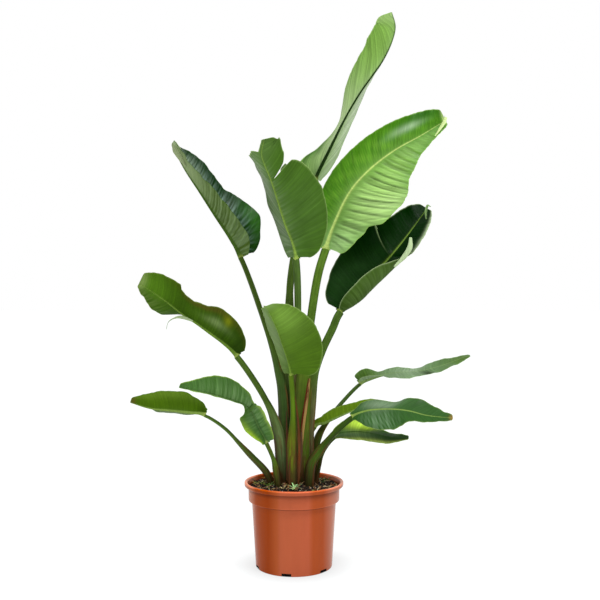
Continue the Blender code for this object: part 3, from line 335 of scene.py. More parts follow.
# For each leaf: foot on the soil; the stalk's half width and half thickness at its foot and
# top; how far the veins run forward at the tip; the directions that the upper face looks at
# the foot and at the blade's base, middle and tip; the stalk's points up to the blade; the
# midrib's points; and the halves to the right and left of the midrib, seen from the upper
# face with the tip up: (place in hundredths, reach, rise and curl in degrees). In mm.
LEAVES = {
    "top": leaf_shape(
        (-6, 32), (18, 6.5, 7.8, 6.2), 0.5,
        [(0, -1, 0), (0.1, 1, 0), (0.1, 1, 0), (0, 1, 0)],
        [(-7, 28, 350), (-10, 20, 540), (-4, 12, 630), (18, 0, 735)],
        [(45, -10, 815), (76, -19, 880), (107, -28, 941), (136, -33, 990), (163, -35, 1028),
         (186, -35, 1061), (204, -33, 1099), (212, -30, 1133), (205, -26, 1165)],
        [(0, 10, 20), (3, 45, 20), (7, 58, 30), (15, 62, 58), (27, 62, 74), (36, 63, 66),
         (45, 63, 51), (56, 63, 37), (70, 61, 26), (82, 52, 20), (91, 42, 18), (96.5, 34, 16),
         (100, 14, 15)],
        [(0, 10, 64), (4, 25, 66), (10, 43, 69), (17, 52, 73), (26, 56, 78), (40, 56, 83),
         (55, 55, 94), (70, 50, 98), (85, 38, 98), (94, 24, 94), (100, 6, 90)]),
    "upper_right": leaf_shape(
        (14, -12), (17, 6.5, 8.8, 6.8), 0.5,
        [(-0.1, -1, 0), (-0.1, -1, 0.2), (-0.1, -1, 0.2), (0, -1, 0.2)],
        [(16, -11, 290), (21, -6, 400), (34, 8, 508), (50, 27, 610)],
        [(68, 44, 672), (88, 54, 730), (122, 66, 800), (167, 78, 852), (224, 92, 897),
         (285, 108, 933), (343, 122, 970)],
        [(0, 10, 10), (3, 40, 10, -10), (9, 60, 12, -10), (14, 72, 12, -10),
         (16.5, 74, 12, -10), (19, 100, 12, -10), (24, 112, 12, -10), (30, 118, 10, -10),
         (36, 112, 10, -10), (42, 104, 10, -10), (52, 80, 12, -10), (62, 63, 15, -10),
         (71, 45, 18, -10), (84, 28, 20), (100, 6, 20)],
        [(0, 12, 25), (5, 38, 25, -10), (15, 53, 25, -15), (30, 57, 28, -15), (50, 60, 30, -15),
         (65, 58, 30, -15), (78, 53, 25, -15), (88, 45, 20, -15), (96, 33, 20, -10),
         (100, 19, 20)]),
    "upper_centre": leaf_shape(
        (3, 12), (12.5, 6, 7.4, 5.8), 1,
        [(0, 1, 0), (0, 1, 0.3), (0, 0.8, 0.6), (0, 0.4, 0.9)],
        [(4, 11, 350), (8, 3, 500)],
        [(4, -20, 648), (-21, -68, 725), (-43, -126, 794), (-56, -165, 824),
         (-60.5, -190, 841.5), (-54.5, -207, 864)],
        [(0, 10, 55), (5, 43, 60), (15, 70, 67), (33, 84, 69), (53, 74, 62), (64, 53, 50),
         (72, 37, 42), (80, 25, 34), (84.5, 21, 28), (87.5, 15, 22), (89, 10, 18), (90.5, 5, 5),
         (100, 5, 5)],
        [(0, 10, 10), (2, 30, 10), (6, 56, 12), (14, 83, 12), (25, 95, 10), (34, 94, 10),
         (42, 86, 10), (50, 77, 10), (57, 65, 10), (62.5, 50, 11), (63.8, 6, 12),
         (66, 34, 14, -10), (72, 44, 20, -20), (80, 45, 26, -15), (88, 40, 30, -10),
         (95, 31, 32, -10), (100, 12, 32)]),
    "upper_left": leaf_shape(
        (-22, 14), (12.5, 6.5, 8.4, 6.8), 0.5,
        [(0.2, 1, 0), (0.85, 0, 0.53)],
        [(-23, 13, 340), (-34, 12, 415), (-49, 10, 477), (-66, 7, 532), (-89, 3, 602)],
        [(-109, 0, 653), (-135, -6, 698), (-167, -12, 745), (-198, -16, 792), (-227, -18, 835),
         (-257, -20, 888)],
        [(0, 10, 60), (2, 28, 60), (8, 60, 62), (17, 86, 62), (32, 70, 57), (46, 61, 46),
         (60, 56, 50), (76, 42, 58), (88, 26, 60), (94, 16, 60), (96, 6, 60), (100, 5, 60)],
        [(0, 8, 30), (4, 30, 35), (10, 55, 35), (20, 65, 32), (36, 62, 30), (60, 45, 28),
         (82, 31, 28), (93, 26, 28), (98, 23, 28), (100, 14, 28)]),
    "middle_right": leaf_shape(
        (27, 18), (14, 6.5, 8.6, 6.8), 0.5,
        [(-0.2, -1, 0), (-0.3, -0.9, 0.3)],
        [(28, 14, 290), (35, 16, 350), (45, 19, 409), (61, 24, 456), (82, 32, 500)],
        [(99, 40, 536), (138, 55, 577), (181, 72, 624), (219, 88, 665), (253, 104, 706),
         (280, 118, 741), (303, 130, 771)],
        [(0, 10, 15, 60), (3, 42, 10, 140), (9, 73, 2, 168), (17, 84, -2, 172),
         (25, 83, -2, 158), (34, 77, 0, 122), (44, 67, 4, 85), (53, 59, 8, 60), (55, 25, 8),
         (57, 42, 10, 10), (75, 38, 10, 10), (88, 29, 15, 10), (100, 4, 15)],
        [(0, 10, 20), (2, 30, 20), (7, 55, 20, -10), (17, 79, 20, -10), (30, 90, 20, -10),
         (45, 89, 20), (54, 84, 22, 10), (56, 62, 18), (58, 76, 10), (70, 60, 8), (82, 48, 10),
         (92, 34, 15), (100, 8, 15)]),
    "front_centre": leaf_shape(
        (-2, -42), (10, 6, 5.5, 5), 0.5,
        [(0, 1, 0), (0, 0.8, 0.6), (0, 0.7, 0.7), (0, 0.5, 0.9)],
        [(-3, -38, 250), (-2, -37, 340)],
        [(-6, -42, 406), (-13, -62, 441), (-24, -90, 477), (-33, -118, 506), (-43, -146, 531),
         (-52, -180, 551)],
        [(0, 8, 50), (5, 32, 52), (15, 47, 56), (37, 54, 56), (60, 42, 52), (74, 28, 44),
         (86, 17, 36), (93, 9, 30), (100, 3, 20)],
        [(0, 10, 8), (2, 36, 8), (5, 56, 8), (12, 71, 8), (25, 78, 8), (42, 74, 8),
         (60, 60, 10), (78, 42, 12), (90, 27, 15), (100, 5, 15)]),
    "middle_left": leaf_shape(
        (-26, -10), (11.5, 6, 6.6, 5.6), 0.5,
        [(0.2, 1, 0), (0.3, 0.8, 0.5)],
        [(-29, -14, 260), (-42, -17, 315), (-60, -21, 355), (-86, -27, 400)],
        [(-117, -34, 445), (-145, -44, 473), (-175, -54, 496), (-200, -62, 515),
         (-224, -68, 531), (-258, -74, 558), (-286, -78, 578), (-313, -84, 596)],
        [(0, 10, 100), (5, 35, 110), (20, 45, 115), (42, 45, 110), (49, 44, 92), (55, 45, 50),
         (62, 48, 14), (74, 41, 4), (87, 26, 4), (100, 4, 10)],
        [(0, 10, 20), (3, 22, 20), (8, 39, 22), (16, 52, 25), (26, 58, 22), (33, 52, 30),
         (40, 43, 30), (50, 38, 22), (58, 38, 20), (63.5, 40, 20), (65.5, 48, 20), (72, 47, 20),
         (82, 42, 22), (92, 33, 25), (100, 16, 25)]),
    "low_left": leaf_shape(
        (-49, -18), (6.8, 6, 4.2, 4), 0.4,
        [(0.2, 1, 0), (0, 0.2, 1)],
        [(-60, -16, 202), (-87, -12, 230), (-114, -10, 259), (-146, -12, 294)],
        [(-185, -18, 322), (-218, -26, 328), (-258, -34, 333), (-298, -42, 338),
         (-338, -50, 351)],
        [(0, 8, 20), (5, 18, -2), (15, 30, -6), (30, 35, -7), (45, 33, -7), (58, 26, -8),
         (66, 16, -6), (70, 8, 0), (76, 12, 35), (86, 17, 50), (94, 13, 50), (100, 5, 50)],
        [(0, 7, 70), (4, 13, 72), (8, 23, 73), (14, 31, 74), (26, 41, 76), (50, 39, 76),
         (72, 30, 72), (90, 18, 66), (100, 5, 60)]),
    "low_left_bent": leaf_shape(
        (-33, -36), (6, 5.5, 4.4, 4), 0.3,
        [(0.2, -1, 0), (0.3, -0.8, 0.3), (0.1, -0.7, 0.7), (0.1, -0.7, 0.7)],
        [(-40, -33, 222)],
        [(-56, -32, 263), (-74, -44, 301), (-90, -62, 339), (-113, -76, 355), (-149, -88, 368),
         (-188, -98, 379), (-229, -106, 388)],
        [(0, 8, 10), (3, 17, 20), (12, 23, 20), (22, 23, 20), (30, 21, 22), (34.5, 15, 25),
         (37.5, 17, 28), (41, 26, 30), (47, 34, 30), (57, 41, 30), (67, 40, 26), (77, 32, 20),
         (86, 22, 20), (94, 13, 20), (100, 5, 20)],
        [(0, 7, 10), (5, 14, 20), (12, 24, 10), (22, 32, 0), (31, 33, 0), (36, 30, 8),
         (41, 21, 20), (46, 13, 38), (60, 16, 40), (80, 13, 40), (93, 8, 40), (100, 4, 40)]),
    "low_right_wavy": leaf_shape(
        (38, 36), (8, 6, 4.8, 4.5), 0.4,
        [(-0.4, -0.9, 0.1), (-0.2, -0.15, 1)],
        [(50, 36, 259), (78, 46, 307), (107, 54, 343)],
        [(142, 62, 379), (167, 62, 390), (198, 64, 399), (233, 66, 403), (278, 70, 406),
         (334, 74, 420), (390, 80, 440)],
        [(0, 8, 30), (5, 18, 40), (15, 22, 20), (25, 26, -10), (37, 29, -16), (50, 27, -8),
         (64, 26, -14), (77, 23, -6), (90, 14, -14), (100, 5, 0)],
        [(0, 8, 60), (3, 20, 70), (9, 25, 62), (19, 20, 10), (33, 27, 14), (48, 26, 2),
         (68, 26, 16), (85, 20, 8), (100, 5, 0)]),
    "low_right": leaf_shape(
        (32, -34), (9.5, 7.5, 6.2, 5.6), 0.4,
        [(-0.5, -0.85, 0.1), (0, -0.55, 0.83)],
        [(36, -33, 220), (54, -38, 250), (83, -45, 287)],
        [(118, -54, 321), (146, -64, 335), (176, -72, 340), (205, -80, 341), (235, -88, 338),
         (264, -95, 331), (293, -101, 328), (318, -106, 327)],
        [(0, 7, 0), (5, 14, -5), (15, 38, -22), (25, 45, -28), (36, 45, -28), (47, 36, -22),
         (57, 26, -10), (72, 21, 0), (88, 13, 0), (100, 5, 0)],
        [(0, 7, 20), (5, 12, 15), (13, 24, 12), (25, 29, 2), (37, 31, -14), (50, 36, 6),
         (62, 36, 10), (76, 27, 10), (90, 15, 6), (100, 5, 0)]),
    "back_right": leaf_shape(
        (14, 50), (6, 5, 4.2, 4), 0.4,
        [(-0.7, 0.7, 0.2), (-0.3, 0.3, 0.9)],
        [(20, 48, 230)],
        [(43, 36, 288), (67, 26, 299), (98, 17, 314), (124, 9, 326), (150, 3, 338),
         (176, 0, 346)],
        [(0, 6, 70), (6, 9, 72), (18, 16, 74), (33, 20, 74), (50, 18, 72), (70, 14, 70),
         (90, 10, 70), (100, 4, 70)],
        [(0, 6, 50), (6, 9, 50), (20, 18, 50), (40, 23, 50), (70, 18, 55), (90, 10, 60),
         (100, 4, 60)]),
    "low_right_under": leaf_shape(
        (46, -8), (5.5, 5, 4, 3.8), 0.4,
        [(-0.5, -0.8, 0.1), (0, -0.35, 0.94)],
        [(58, -10, 235)],
        [(86, -16, 276), (122, -22, 286), (163, -28, 284), (204, -34, 277), (239, -38, 277)],
        [(0, 7, 0), (10, 18, -10), (30, 25, -15), (60, 24, -15), (80, 16, -10), (100, 4, 0)],
        [(0, 7, 30), (6, 18, 30), (18, 32, 30), (33, 32, 15), (53, 26, -5), (75, 20, -5),
         (90, 12, 0), (100, 4, 0)]),
}
# For each leaf, colours as they look to the eye (0 to 255): the upper face, the lower face,
# the midrib above and below, the margin, the stalk's upper part and its sheath; then pleats
# (depth in mm on the right and left half, spacing in mm), how much painted light makes their
# crests paler, and painted shade their hollows darker, on each half, and waves of the edge
# (mm, spacing in mm). Each patch on a face is (place, spread, across, spread, colour,
# strength), with across -1 at the left edge and 1 at the right one, and where it has streaks
# their spacing in mm and, where it isn't the usual one, their depth; a few patches are painted
# highlights and sheen. Each tear is (half, place, inner share, lift in mm, reach in mm).
LOOKS = {
    "top": leaf_look(
        (70, 120, 45), (100, 142, 54), (150, 175, 90), (24, 48, 10), (176, 200, 140),
        (80, 106, 36), (78, 96, 40), (0.1, 0.1, 14), (0, 0), (0.5, 70), keel=2, slant=1.3,
        tip_pleat=0.8, skin="leaf_veined",
        on_lower=[
            (0.99, 0.07, 0, 2, (170, 198, 132), 0.7),
            (0.45, 0.5, -0.6, 0.6, (206, 220, 190), 0.85),
            (0.75, 0.28, 0.4, 0.7, (118, 158, 70), 0.8),
            (0.3, 0.22, 0.5, 0.7, (190, 214, 154), 0.75), (0.12, 0.12, 1.1, 0.6, (40, 84, 6), 1)]),
    "upper_right": leaf_look(
        (58, 116, 2), (140, 175, 105), (190, 214, 120), (150, 180, 90), (140, 180, 80),
        (84, 116, 34), (84, 110, 24), (2.2, 0.2, 16), (0.5, 0.05), (1.2, 60), slant=0.3,
        tip_pleat=0.2,
        on_upper=[
            # Painted sheen: these three pale patches on the right half stand for light glancing
            # off it
            (0.31, 0.14, 0.6, 0.4, (214, 240, 170), 0.9),
            (0.4, 0.5, 0.5, 0.6, (146, 188, 96), 0.8),
            (0.05, 0.09, 0.5, 0.7, (150, 186, 118), 0.8),
            (0.3, 0.3, -0.7, 0.5, (76, 134, 20), 0.6),
            (0.5, 0.5, -0.45, 0.4, (126, 180, 54), 0.5, 5, 0.6),
            (0.86, 0.14, -0.9, 0.35, (40, 92, 16), 0.9),
            # Painted highlight: a pale strip near the tip of the left half
            (0.76, 0.1, -0.55, 0.14, (160, 186, 150), 0.7),
            (0.995, 0.012, 0, 2, (196, 220, 141), 0.7)]),
    "upper_centre": leaf_look(
        (60, 105, 40), (64, 100, 24), (150, 175, 90), (128, 158, 66), (150, 178, 105),
        (80, 108, 44), (104, 88, 56), (0.2, 0.1, 8), (0.05, 0.04), (1, 60),
        on_lower=[
            (0.45, 0.45, 0.6, 0.5, (180, 198, 162), 0.9, 10, 0.5),
            (0.4, 0.5, 0.5, 0.5, (112, 138, 88), 0.6),
            (0.3, 0.3, -0.6, 0.5, (88, 122, 56), 0.5, 6), (0.92, 0.13, 0, 2, (86, 118, 54), 0.8)]),
    "upper_left": leaf_look(
        (8, 46, 2), (66, 90, 26), (150, 175, 90), (66, 94, 32), (60, 92, 44), (70, 96, 24),
        (62, 90, 36), (0.35, 0.15, 9), (0.08, 0.06), (1.6, 50), gloss=0.6, slant=0.3,
        on_lower=[
            (0.8, 0.25, 0, 2, (136, 154, 108), 0.9),
            (0.35, 0.4, 0, 2, (126, 150, 98), 0.8, 9, 0.7),
            (0.98, 0.04, 0, 2, (160, 180, 135), 0.9),
            (0.12, 0.14, 0, 2, (116, 138, 100), 0.6, 8, 0.6)],
        on_upper=[
            # Painted reflection: pale bluish streaks of sheen on the upper face, here and in the
            # last patch
            (0.4, 0.45, 0.34, 0.4, (140, 168, 156), 0.85, 8, 0.65),
            (0.16, 0.12, 0.85, 0.3, (60, 116, 40), 0.6),
            (0.8, 0.2, 0.3, 0.4, (150, 172, 146), 0.85, 9, 0.5)]),
    "middle_right": leaf_look(
        (2, 34, 0), (50, 76, 16), (112, 142, 52), (96, 126, 66), (166, 186, 136), (78, 108, 38),
        (112, 112, 70), (0.15, 0.15, 8), (0.06, 0.08), (1, 60), gloss=0.25,
        tears=[("left", 0.545, 0.12, 5, 18)],
        on_upper=[
            (0.15, 0.15, -0.7, 0.5, (34, 66, 26), 0.6),
            (0.3, 0.3, -0.3, 0.4, (40, 78, 30), 0.4, 5),
            (0.543, 0.005, -0.8, 0.4, (150, 172, 120), 0.9),
            (0.8, 0.2, 1, 0.14, (172, 192, 150), 0.95)],
        on_lower=[
            (0.3, 0.4, 0.6, 0.5, (98, 124, 70), 0.5, 9)]),
    "front_centre": leaf_look(
        (70, 115, 45), (76, 110, 22), (150, 175, 90), (112, 146, 50), (150, 178, 100),
        (84, 114, 18), (100, 114, 16), (0.1, 0.08, 7), (0.04, 0.03), (0.6, 50),
        on_lower=[
            (0.5, 0.5, 0.7, 0.5, (128, 152, 86), 0.85, 9),
            (0.5, 0.5, 0.7, 0.4, (112, 142, 76), 0.6),
            (0.75, 0.3, -0.5, 0.6, (124, 162, 66), 0.7), (0.97, 0.07, 0, 2, (120, 152, 76), 0.8)]),
    "middle_left": leaf_look(
        (70, 108, 30), (44, 74, 0), (150, 175, 90), (94, 122, 42), (120, 140, 52),
        (78, 106, 34), (96, 116, 66), (0.1, 0.1, 9), (0.04, 0.04), (1, 45),
        on_lower=[
            (0.04, 0.1, 0, 2, (30, 54, 0), 0.8), (0.88, 0.16, -0.4, 1.2, (78, 118, 20), 0.9),
            # Painted highlight at the tip
            (0.985, 0.04, 0, 2, (128, 152, 80), 0.8),
            (0.85, 0.2, 0.8, 0.5, (102, 126, 56), 0.7, 9, 0.6),
            (0.38, 0.26, -0.9, 0.14, (84, 70, 20), 0.7),
            (0.3, 0.1, -0.45, 0.15, (130, 150, 96), 0.6),
            (0.45, 0.3, -0.4, 0.5, (76, 108, 24), 0.4, 8),
            (0.22, 0.03, -0.75, 0.18, (128, 136, 16), 0.7)]),
    "low_left": leaf_look(
        (76, 120, 40), (66, 98, 4), (150, 175, 90), (120, 146, 66), (104, 132, 52),
        (78, 108, 34), (76, 100, 34), (0.12, 0.12, 7), (0.04, 0.04), (0.8, 50),
        on_lower=[
            (0.45, 0.6, -0.9, 0.3, (104, 136, 40), 0.6), (0.97, 0.04, 0, 2, (96, 76, 30), 0.7),
            (0.38, 0.26, 0.9, 0.6, (88, 108, 62), 0.9), (0.04, 0.1, 0, 2, (40, 66, 0), 0.7)]),
    "low_left_bent": leaf_look(
        (62, 104, 38), (92, 130, 56), (70, 102, 44), (120, 150, 70), (160, 192, 70),
        (76, 108, 32), (92, 118, 24), (0.12, 0.15, 7), (0.05, 0.05), (0.8, 40),
        on_upper=[
            (0.45, 0.35, 0.2, 0.6, (126, 160, 104), 0.7, 9, 0.5),
            (0.13, 0.13, -0.95, 0.3, (158, 196, 50), 0.9),
            (0.15, 0.2, 0, 0.16, (40, 76, 28), 0.8),
            (0.22, 0.16, 0.95, 0.2, (150, 182, 80), 0.7),
            (0.75, 0.2, -0.9, 0.5, (140, 172, 96), 0.7)]),
    "low_right_wavy": leaf_look(
        (88, 120, 72), (122, 146, 106), (112, 140, 84), (120, 146, 84), (142, 168, 104),
        (66, 94, 30), (60, 78, 22), (0.15, 0.15, 7), (0.06, 0.06), (0.8, 40), gloss=0.3,
        on_upper=[
            (0.08, 0.14, 0, 2, (72, 104, 30), 0.9), (0.42, 0.18, 0, 2, (146, 170, 134), 0.7, 8),
            (0.92, 0.16, 0, 2, (66, 96, 26), 0.9), (0.57, 0.045, 0.8, 0.8, (32, 54, 10), 1)],
        on_lower=[
            (0.6, 0.05, 0.9, 0.6, (60, 88, 26), 0.9), (0.94, 0.14, 0, 2, (92, 124, 54), 0.85)]),
    "low_right": leaf_look(
        (42, 84, 26), (104, 136, 60), (124, 152, 70), (130, 158, 80), (128, 150, 76),
        (54, 80, 22), (66, 94, 24), (0.15, 0.15, 8), (0.07, 0.07), (0.8, 45), gloss=0.5,
        slant=0.5,
        on_upper=[
            (1, 0.03, 0, 2, (150, 110, 50), 0.9),
            (0.28, 0.16, 0.6, 0.5, (126, 156, 120), 0.65, 7, 0.5),
            (0.28, 0.13, -0.5, 0.5, (128, 146, 120), 0.8),
            (0.3, 0.2, -0.7, 0.5, (104, 136, 96), 0.6, 8)]),
    "back_right": leaf_look(
        (96, 130, 18), (102, 136, 24), (150, 175, 90), (120, 150, 70), (140, 168, 70),
        (80, 110, 28), (64, 86, 24), (0.1, 0.1, 8), (0.05, 0.05), (0.6, 40)),
    "low_right_under": leaf_look(
        (30, 64, 14), (120, 156, 50), (50, 80, 28), (120, 150, 70), (158, 188, 60),
        (64, 90, 22), (56, 80, 20), (0.1, 0.1, 9), (0.05, 0.05), (0.6, 40), gloss=0.3,
        on_upper=[
            (0.3, 0.26, 0.3, 0.5, (96, 122, 80), 0.8),
            (0.3, 0.15, -0.7, 0.5, (190, 226, 72), 0.95),
            (0.55, 0.4, 1, 0.3, (200, 220, 110), 0.95)]),
}
# Rolled and curled bits of leaf: points, widths along them, direction across, colour, hollow
CURLS = (
    ([(-252, -30, 892), (-247, -33, 877), (-238, -35, 860), (-226, -34, 840)], (12, 23, 16, 4),
     (0.9, -0.3, 0.3), (142, 156, 114), 60),
    ([(-21, -128, 804), (-19, -131, 817), (-12, -131, 828)], (4, 16, 12), (1, 0, -0.2),
     (136, 160, 104), 50),
    ([(341, 112, 977), (337, 108, 965), (328, 104, 950), (316, 100, 931)], (11, 12, 9, 2),
     (-0.4, -0.4, 0.6), (210, 228, 160), 60),
    ([(252.6, 34, 698), (250, 28, 677), (237, 26, 656), (215, 20, 634)], (7, 14, 13, 4),
     (0.8, -0.2, -0.5), (176, 196, 150), 60),
    ([(298, 110, 745), (297, 106, 762), (300, 104, 774), (307, 104, 772)], (4, 7, 7, 3),
     (0.7, -0.3, -0.5), (134, 164, 104), 60),
    ([(-206, -70, 519), (-228, -78, 527), (-243, -82, 525), (-254, -84, 517), (-258, -84, 503)],
     (4, 8, 3, 2, 1), (0.3, 0.5, 0.8), (150, 166, 126), 40),
    ([(-92, -64, 338), (-84, -66, 345), (-77, -66, 350)], (14, 12, 6), (0.2, 0.6, 0.8),
     (80, 116, 52), 60),
)
# Dry strips along the sheaths' edges, in the same form
STRIPS = (
    ([(33.5, -16, 397), (27, -19, 350), (20, -21, 300), (14, -22, 240), (10, -22, 185)],
     (3, 8, 7, 6, 3), (1, 0, 0.1), (150, 118, 68), 40),
    ([(30.5, -18, 397), (23.5, -21, 350), (17.5, -23, 310), (13.5, -24, 262)], (2, 2.6, 3, 1),
     (1, 0, 0.1), (84, 22, 6), 20),
    ([(2.4, -43, 363), (8.6, -44, 314), (11.2, -47, 272), (11.2, -50, 210), (9, -50, 180)],
     (1, 4, 6, 4, 3), (1, 0.2, 0.1), (122, 60, 16), 40),
    ([(16.5, -24, 286), (14.5, -25, 246), (12.5, -25, 200)], (2, 9, 3), (1, 0, 0.1),
     (106, 92, 76), 30),
    ([(-7.5, -44, 240), (-8.5, -46, 205), (-8, -48, 172)], (1, 5, 4), (1, 0.2, 0), (78, 50, 26),
     40),
    ([(-16, -20, 330), (-14, -24, 260), (-12, -28, 185)], (1, 6, 9), (1, 0.2, 0), (84, 50, 28),
     40),
)


def shade(colour):
    """A colour as it looks to the eye, 0 to 255, as linear light."""
    value = np.array(colour, dtype=float) / 255.0
    return np.where(value > 0.04045, ((value + 0.055) / 1.055) ** 2.4, value / 12.92)


def toward(colour, weight, tone):
    """Colours taken towards a tone by a weight at each point."""
    return colour + weight[..., None] * (shade(tone) - colour)


def curve_through(points):
    """Close points on a smooth curve through a few given ones."""
    placed = np.array(points, dtype=float)
    knots = np.vstack([2 * placed[0] - placed[1], placed, 2 * placed[-1] - placed[-2]])
    t = np.linspace(0.0, 1.0, CURVE_STEPS, endpoint=False)[:, None]
    spans = [0.5 * (2 * b + (c - a) * t + (2 * a - 5 * b + 4 * c - d) * t ** 2
                    + (3 * b - a - 3 * c + d) * t ** 3)
             for a, b, c, d in zip(knots, knots[1:], knots[2:], knots[3:])]
    return np.vstack([*spans, placed[-1:]])


def unit(vectors):
    """Rows scaled to length one."""
    size = np.linalg.norm(vectors, axis=-1, keepdims=True)
    return vectors / np.where(size > 1e-12, size, 1.0)


def square_to(vectors, along):
    """Rows made square to others and scaled to length one."""
    return unit(vectors - along * np.sum(vectors * along, axis=-1, keepdims=True))


def between(distance, keys, rows):
    """Read a table's three columns at distances between its keys."""
    return np.stack([np.interp(distance, keys, column) for column in rows.T], axis=-1)


def leaf_path(leaf):
    """The curve of a whole leaf, its running length, and where the blade starts on it."""
    lower = [(*leaf["foot"], FOOT), (*leaf["foot"], SOIL_LINE), *leaf["stalk"]]
    curve = curve_through([*lower, *leaf["rib"]])
    steps = np.linalg.norm(np.diff(curve, axis=0), axis=1)
    length = np.concatenate([[0.0], np.cumsum(steps)])
    return curve, length, length[len(lower) * CURVE_STEPS]


def frame_at(leaf, distance):
    """Points on the leaf's curve with its direction, upper face and side there."""
    curve, length, base = leaf_path(leaf)
    along = unit(between(distance, length, unit(np.gradient(curve, length, axis=0))))
    keys = [0.0, base, (base + length[-1]) / 2, length[-1]]
    up = square_to(between(distance, keys, leaf["face"]), along)
    return between(distance, length, curve), along, up, np.cross(along, up)


def smooth_between(place, keys, values):
    """Read a smooth curve through keyed values that never overshoots them."""
    step = np.diff(keys)
    slope = np.diff(values) / step
    both = slope[:-1] * slope[1:]
    total = np.where(both > 0, slope[:-1] + slope[1:], 1.0)
    tangent = np.concatenate([slope[:1], np.where(both > 0, 2 * both / total, 0.0), slope[-1:]])
    k = np.clip(np.searchsorted(keys, place, side="right") - 1, 0, len(keys) - 2)
    t = (place - keys[k]) / step[k]
    rest = 1 - t
    return (values[k] * (1 + 2 * t) * rest ** 2 + values[k + 1] * t ** 2 * (3 - 2 * t)
            + step[k] * (tangent[k] * t * rest ** 2 - tangent[k + 1] * t ** 2 * rest))


def soft_step(x, low, high):
    """0 below low, 1 above high and smooth between."""
    t = np.clip((x - low) / (high - low), 0.0, 1.0)
    return t * t * (3 - 2 * t)


def ripple(x, spacing, seed):
    """Smooth irregular ups and downs of about one unit, a given spacing apart."""
    dice = np.random.default_rng(seed)
    total = 0.0
    for scale, weight in RIPPLES:
        slide = dice.uniform(0.0, TURN)
        total = total + weight * np.sin(TURN * x / (spacing * scale) + slide)
    return total / RIPPLE_LEVEL


def blade_span(leaf):
    """Where a blade starts on its leaf's curve, and its length."""
    _, length, base = leaf_path(leaf)
    start = base + CLEARANCE
    return start, length[-1] - start


def fine_places(leaf, look):
    """Places of a blade's rows: closest at its ends and at its tears."""
    _, span = blade_span(leaf)
    tears = [tear[1] for tear in look["tears"]]
    for name in ("left", "right"):
        keys = leaf[name][:, 0]
        tears += [b for a, b in zip(keys, keys[1:]) if 0 < b - a < TEAR_STEP and a > TEAR_FROM]
    places = [0.0, NECK / 2, NECK]
    while places[-1] < 1.0 - LAST_ROW * FINE_ROW / span:
        near = min([abs(places[-1] - tear) for tear in tears], default=1.0)
        step = FINE_ROW if near < TEAR_NEAR else np.interp(places[-1], *ROW_SPACING)
        places.append(places[-1] + step / span)
    return np.array([*places[:-1], 1.0])


def rib_half_width(leaf, u):
    """Half the midrib's width: the stalk's at the base, a thin line at the tip."""
    wide = leaf["stem"][2] * np.array(RIB_WIDTHS)
    wide[2:] *= leaf["keel"]
    return np.interp(u, RIB_PLACES, [*wide, RIB_TIP])


def rounded_tip(u):
    """How much of a blade's width is left at places along it."""
    return np.sqrt(1.0 - TIP_ROUND * soft_step(u, TIP_START, 1.0)[:, None] ** 2)


def blunt(keys, u, reach):
    """Round a half's outline at the blade's base and tip."""
    start, end = keys[1, 0], keys[-2, 0]
    low = np.clip(u / start, 0.0, 1.0) ** BLUNTNESS
    high = np.clip((1.0 - u) / (1.0 - end), 0.0, 1.0) ** BLUNTNESS
    reach = np.where(u < start, keys[0, 1] + (keys[1, 1] - keys[0, 1]) * low, reach)
    return np.where(u > end, keys[-1, 1] + (keys[-2, 1] - keys[-1, 1]) * high, reach)


def half_points(leaf, name, u, seed):
    """The upper surface of one half, with each point's distance out and its reach."""
    keys = leaf[name]
    turn = 1.0 if name == "right" else -1.0
    start, span = blade_span(leaf)
    point, along, up, right = frame_at(leaf, start + u * span)
    u = np.where(u > NECK, u, 0.0)
    reach, rise, curl = [smooth_between(u, keys[:, 0], keys[:, k]) for k in (1, 2, 3)]
    rise, curl = np.radians(rise)[:, None], np.radians(curl)[:, None]
    curl = np.where(np.abs(curl) < NO_CURL, NO_CURL, curl)
    rib = rib_half_width(leaf, u)[:, None]
    rough = ROUGH_EDGE * ripple(u * span, ROUGH_SPACING, seed) * soft_step(u, *BASE_BLEND)
    reach = np.maximum((blunt(keys, u, reach) + rough)[:, None], rib + THIN_SHEET)
    out = rib + (reach - rib) * SHARES
    tip = rounded_tip(u)
    angle = rise + curl * out / reach
    sideways = tip * reach / curl * (np.sin(angle) - np.sin(rise))
    upward = tip * reach / curl * (np.cos(rise) - np.cos(angle))
    sweeps = [leaf["sweep"] if sweep is None else sweep for sweep in SWEEPS]
    sweep = np.interp(u, SWEEP_PLACES, sweeps)[:, None]
    forward = tip * sweep * (out - rib) * np.sqrt(out / reach)
    points = (point[:, None] + sideways[..., None] * turn * right[:, None]
              + upward[..., None] * up[:, None] + forward[..., None] * along[:, None])
    return points, turn * out, reach * np.ones_like(out)


def grid_normals(grid):
    """Upward directions of a grid of points, rows along the leaf, columns to the right."""
    return unit(np.cross(np.gradient(grid, axis=1), np.gradient(grid, axis=0)))


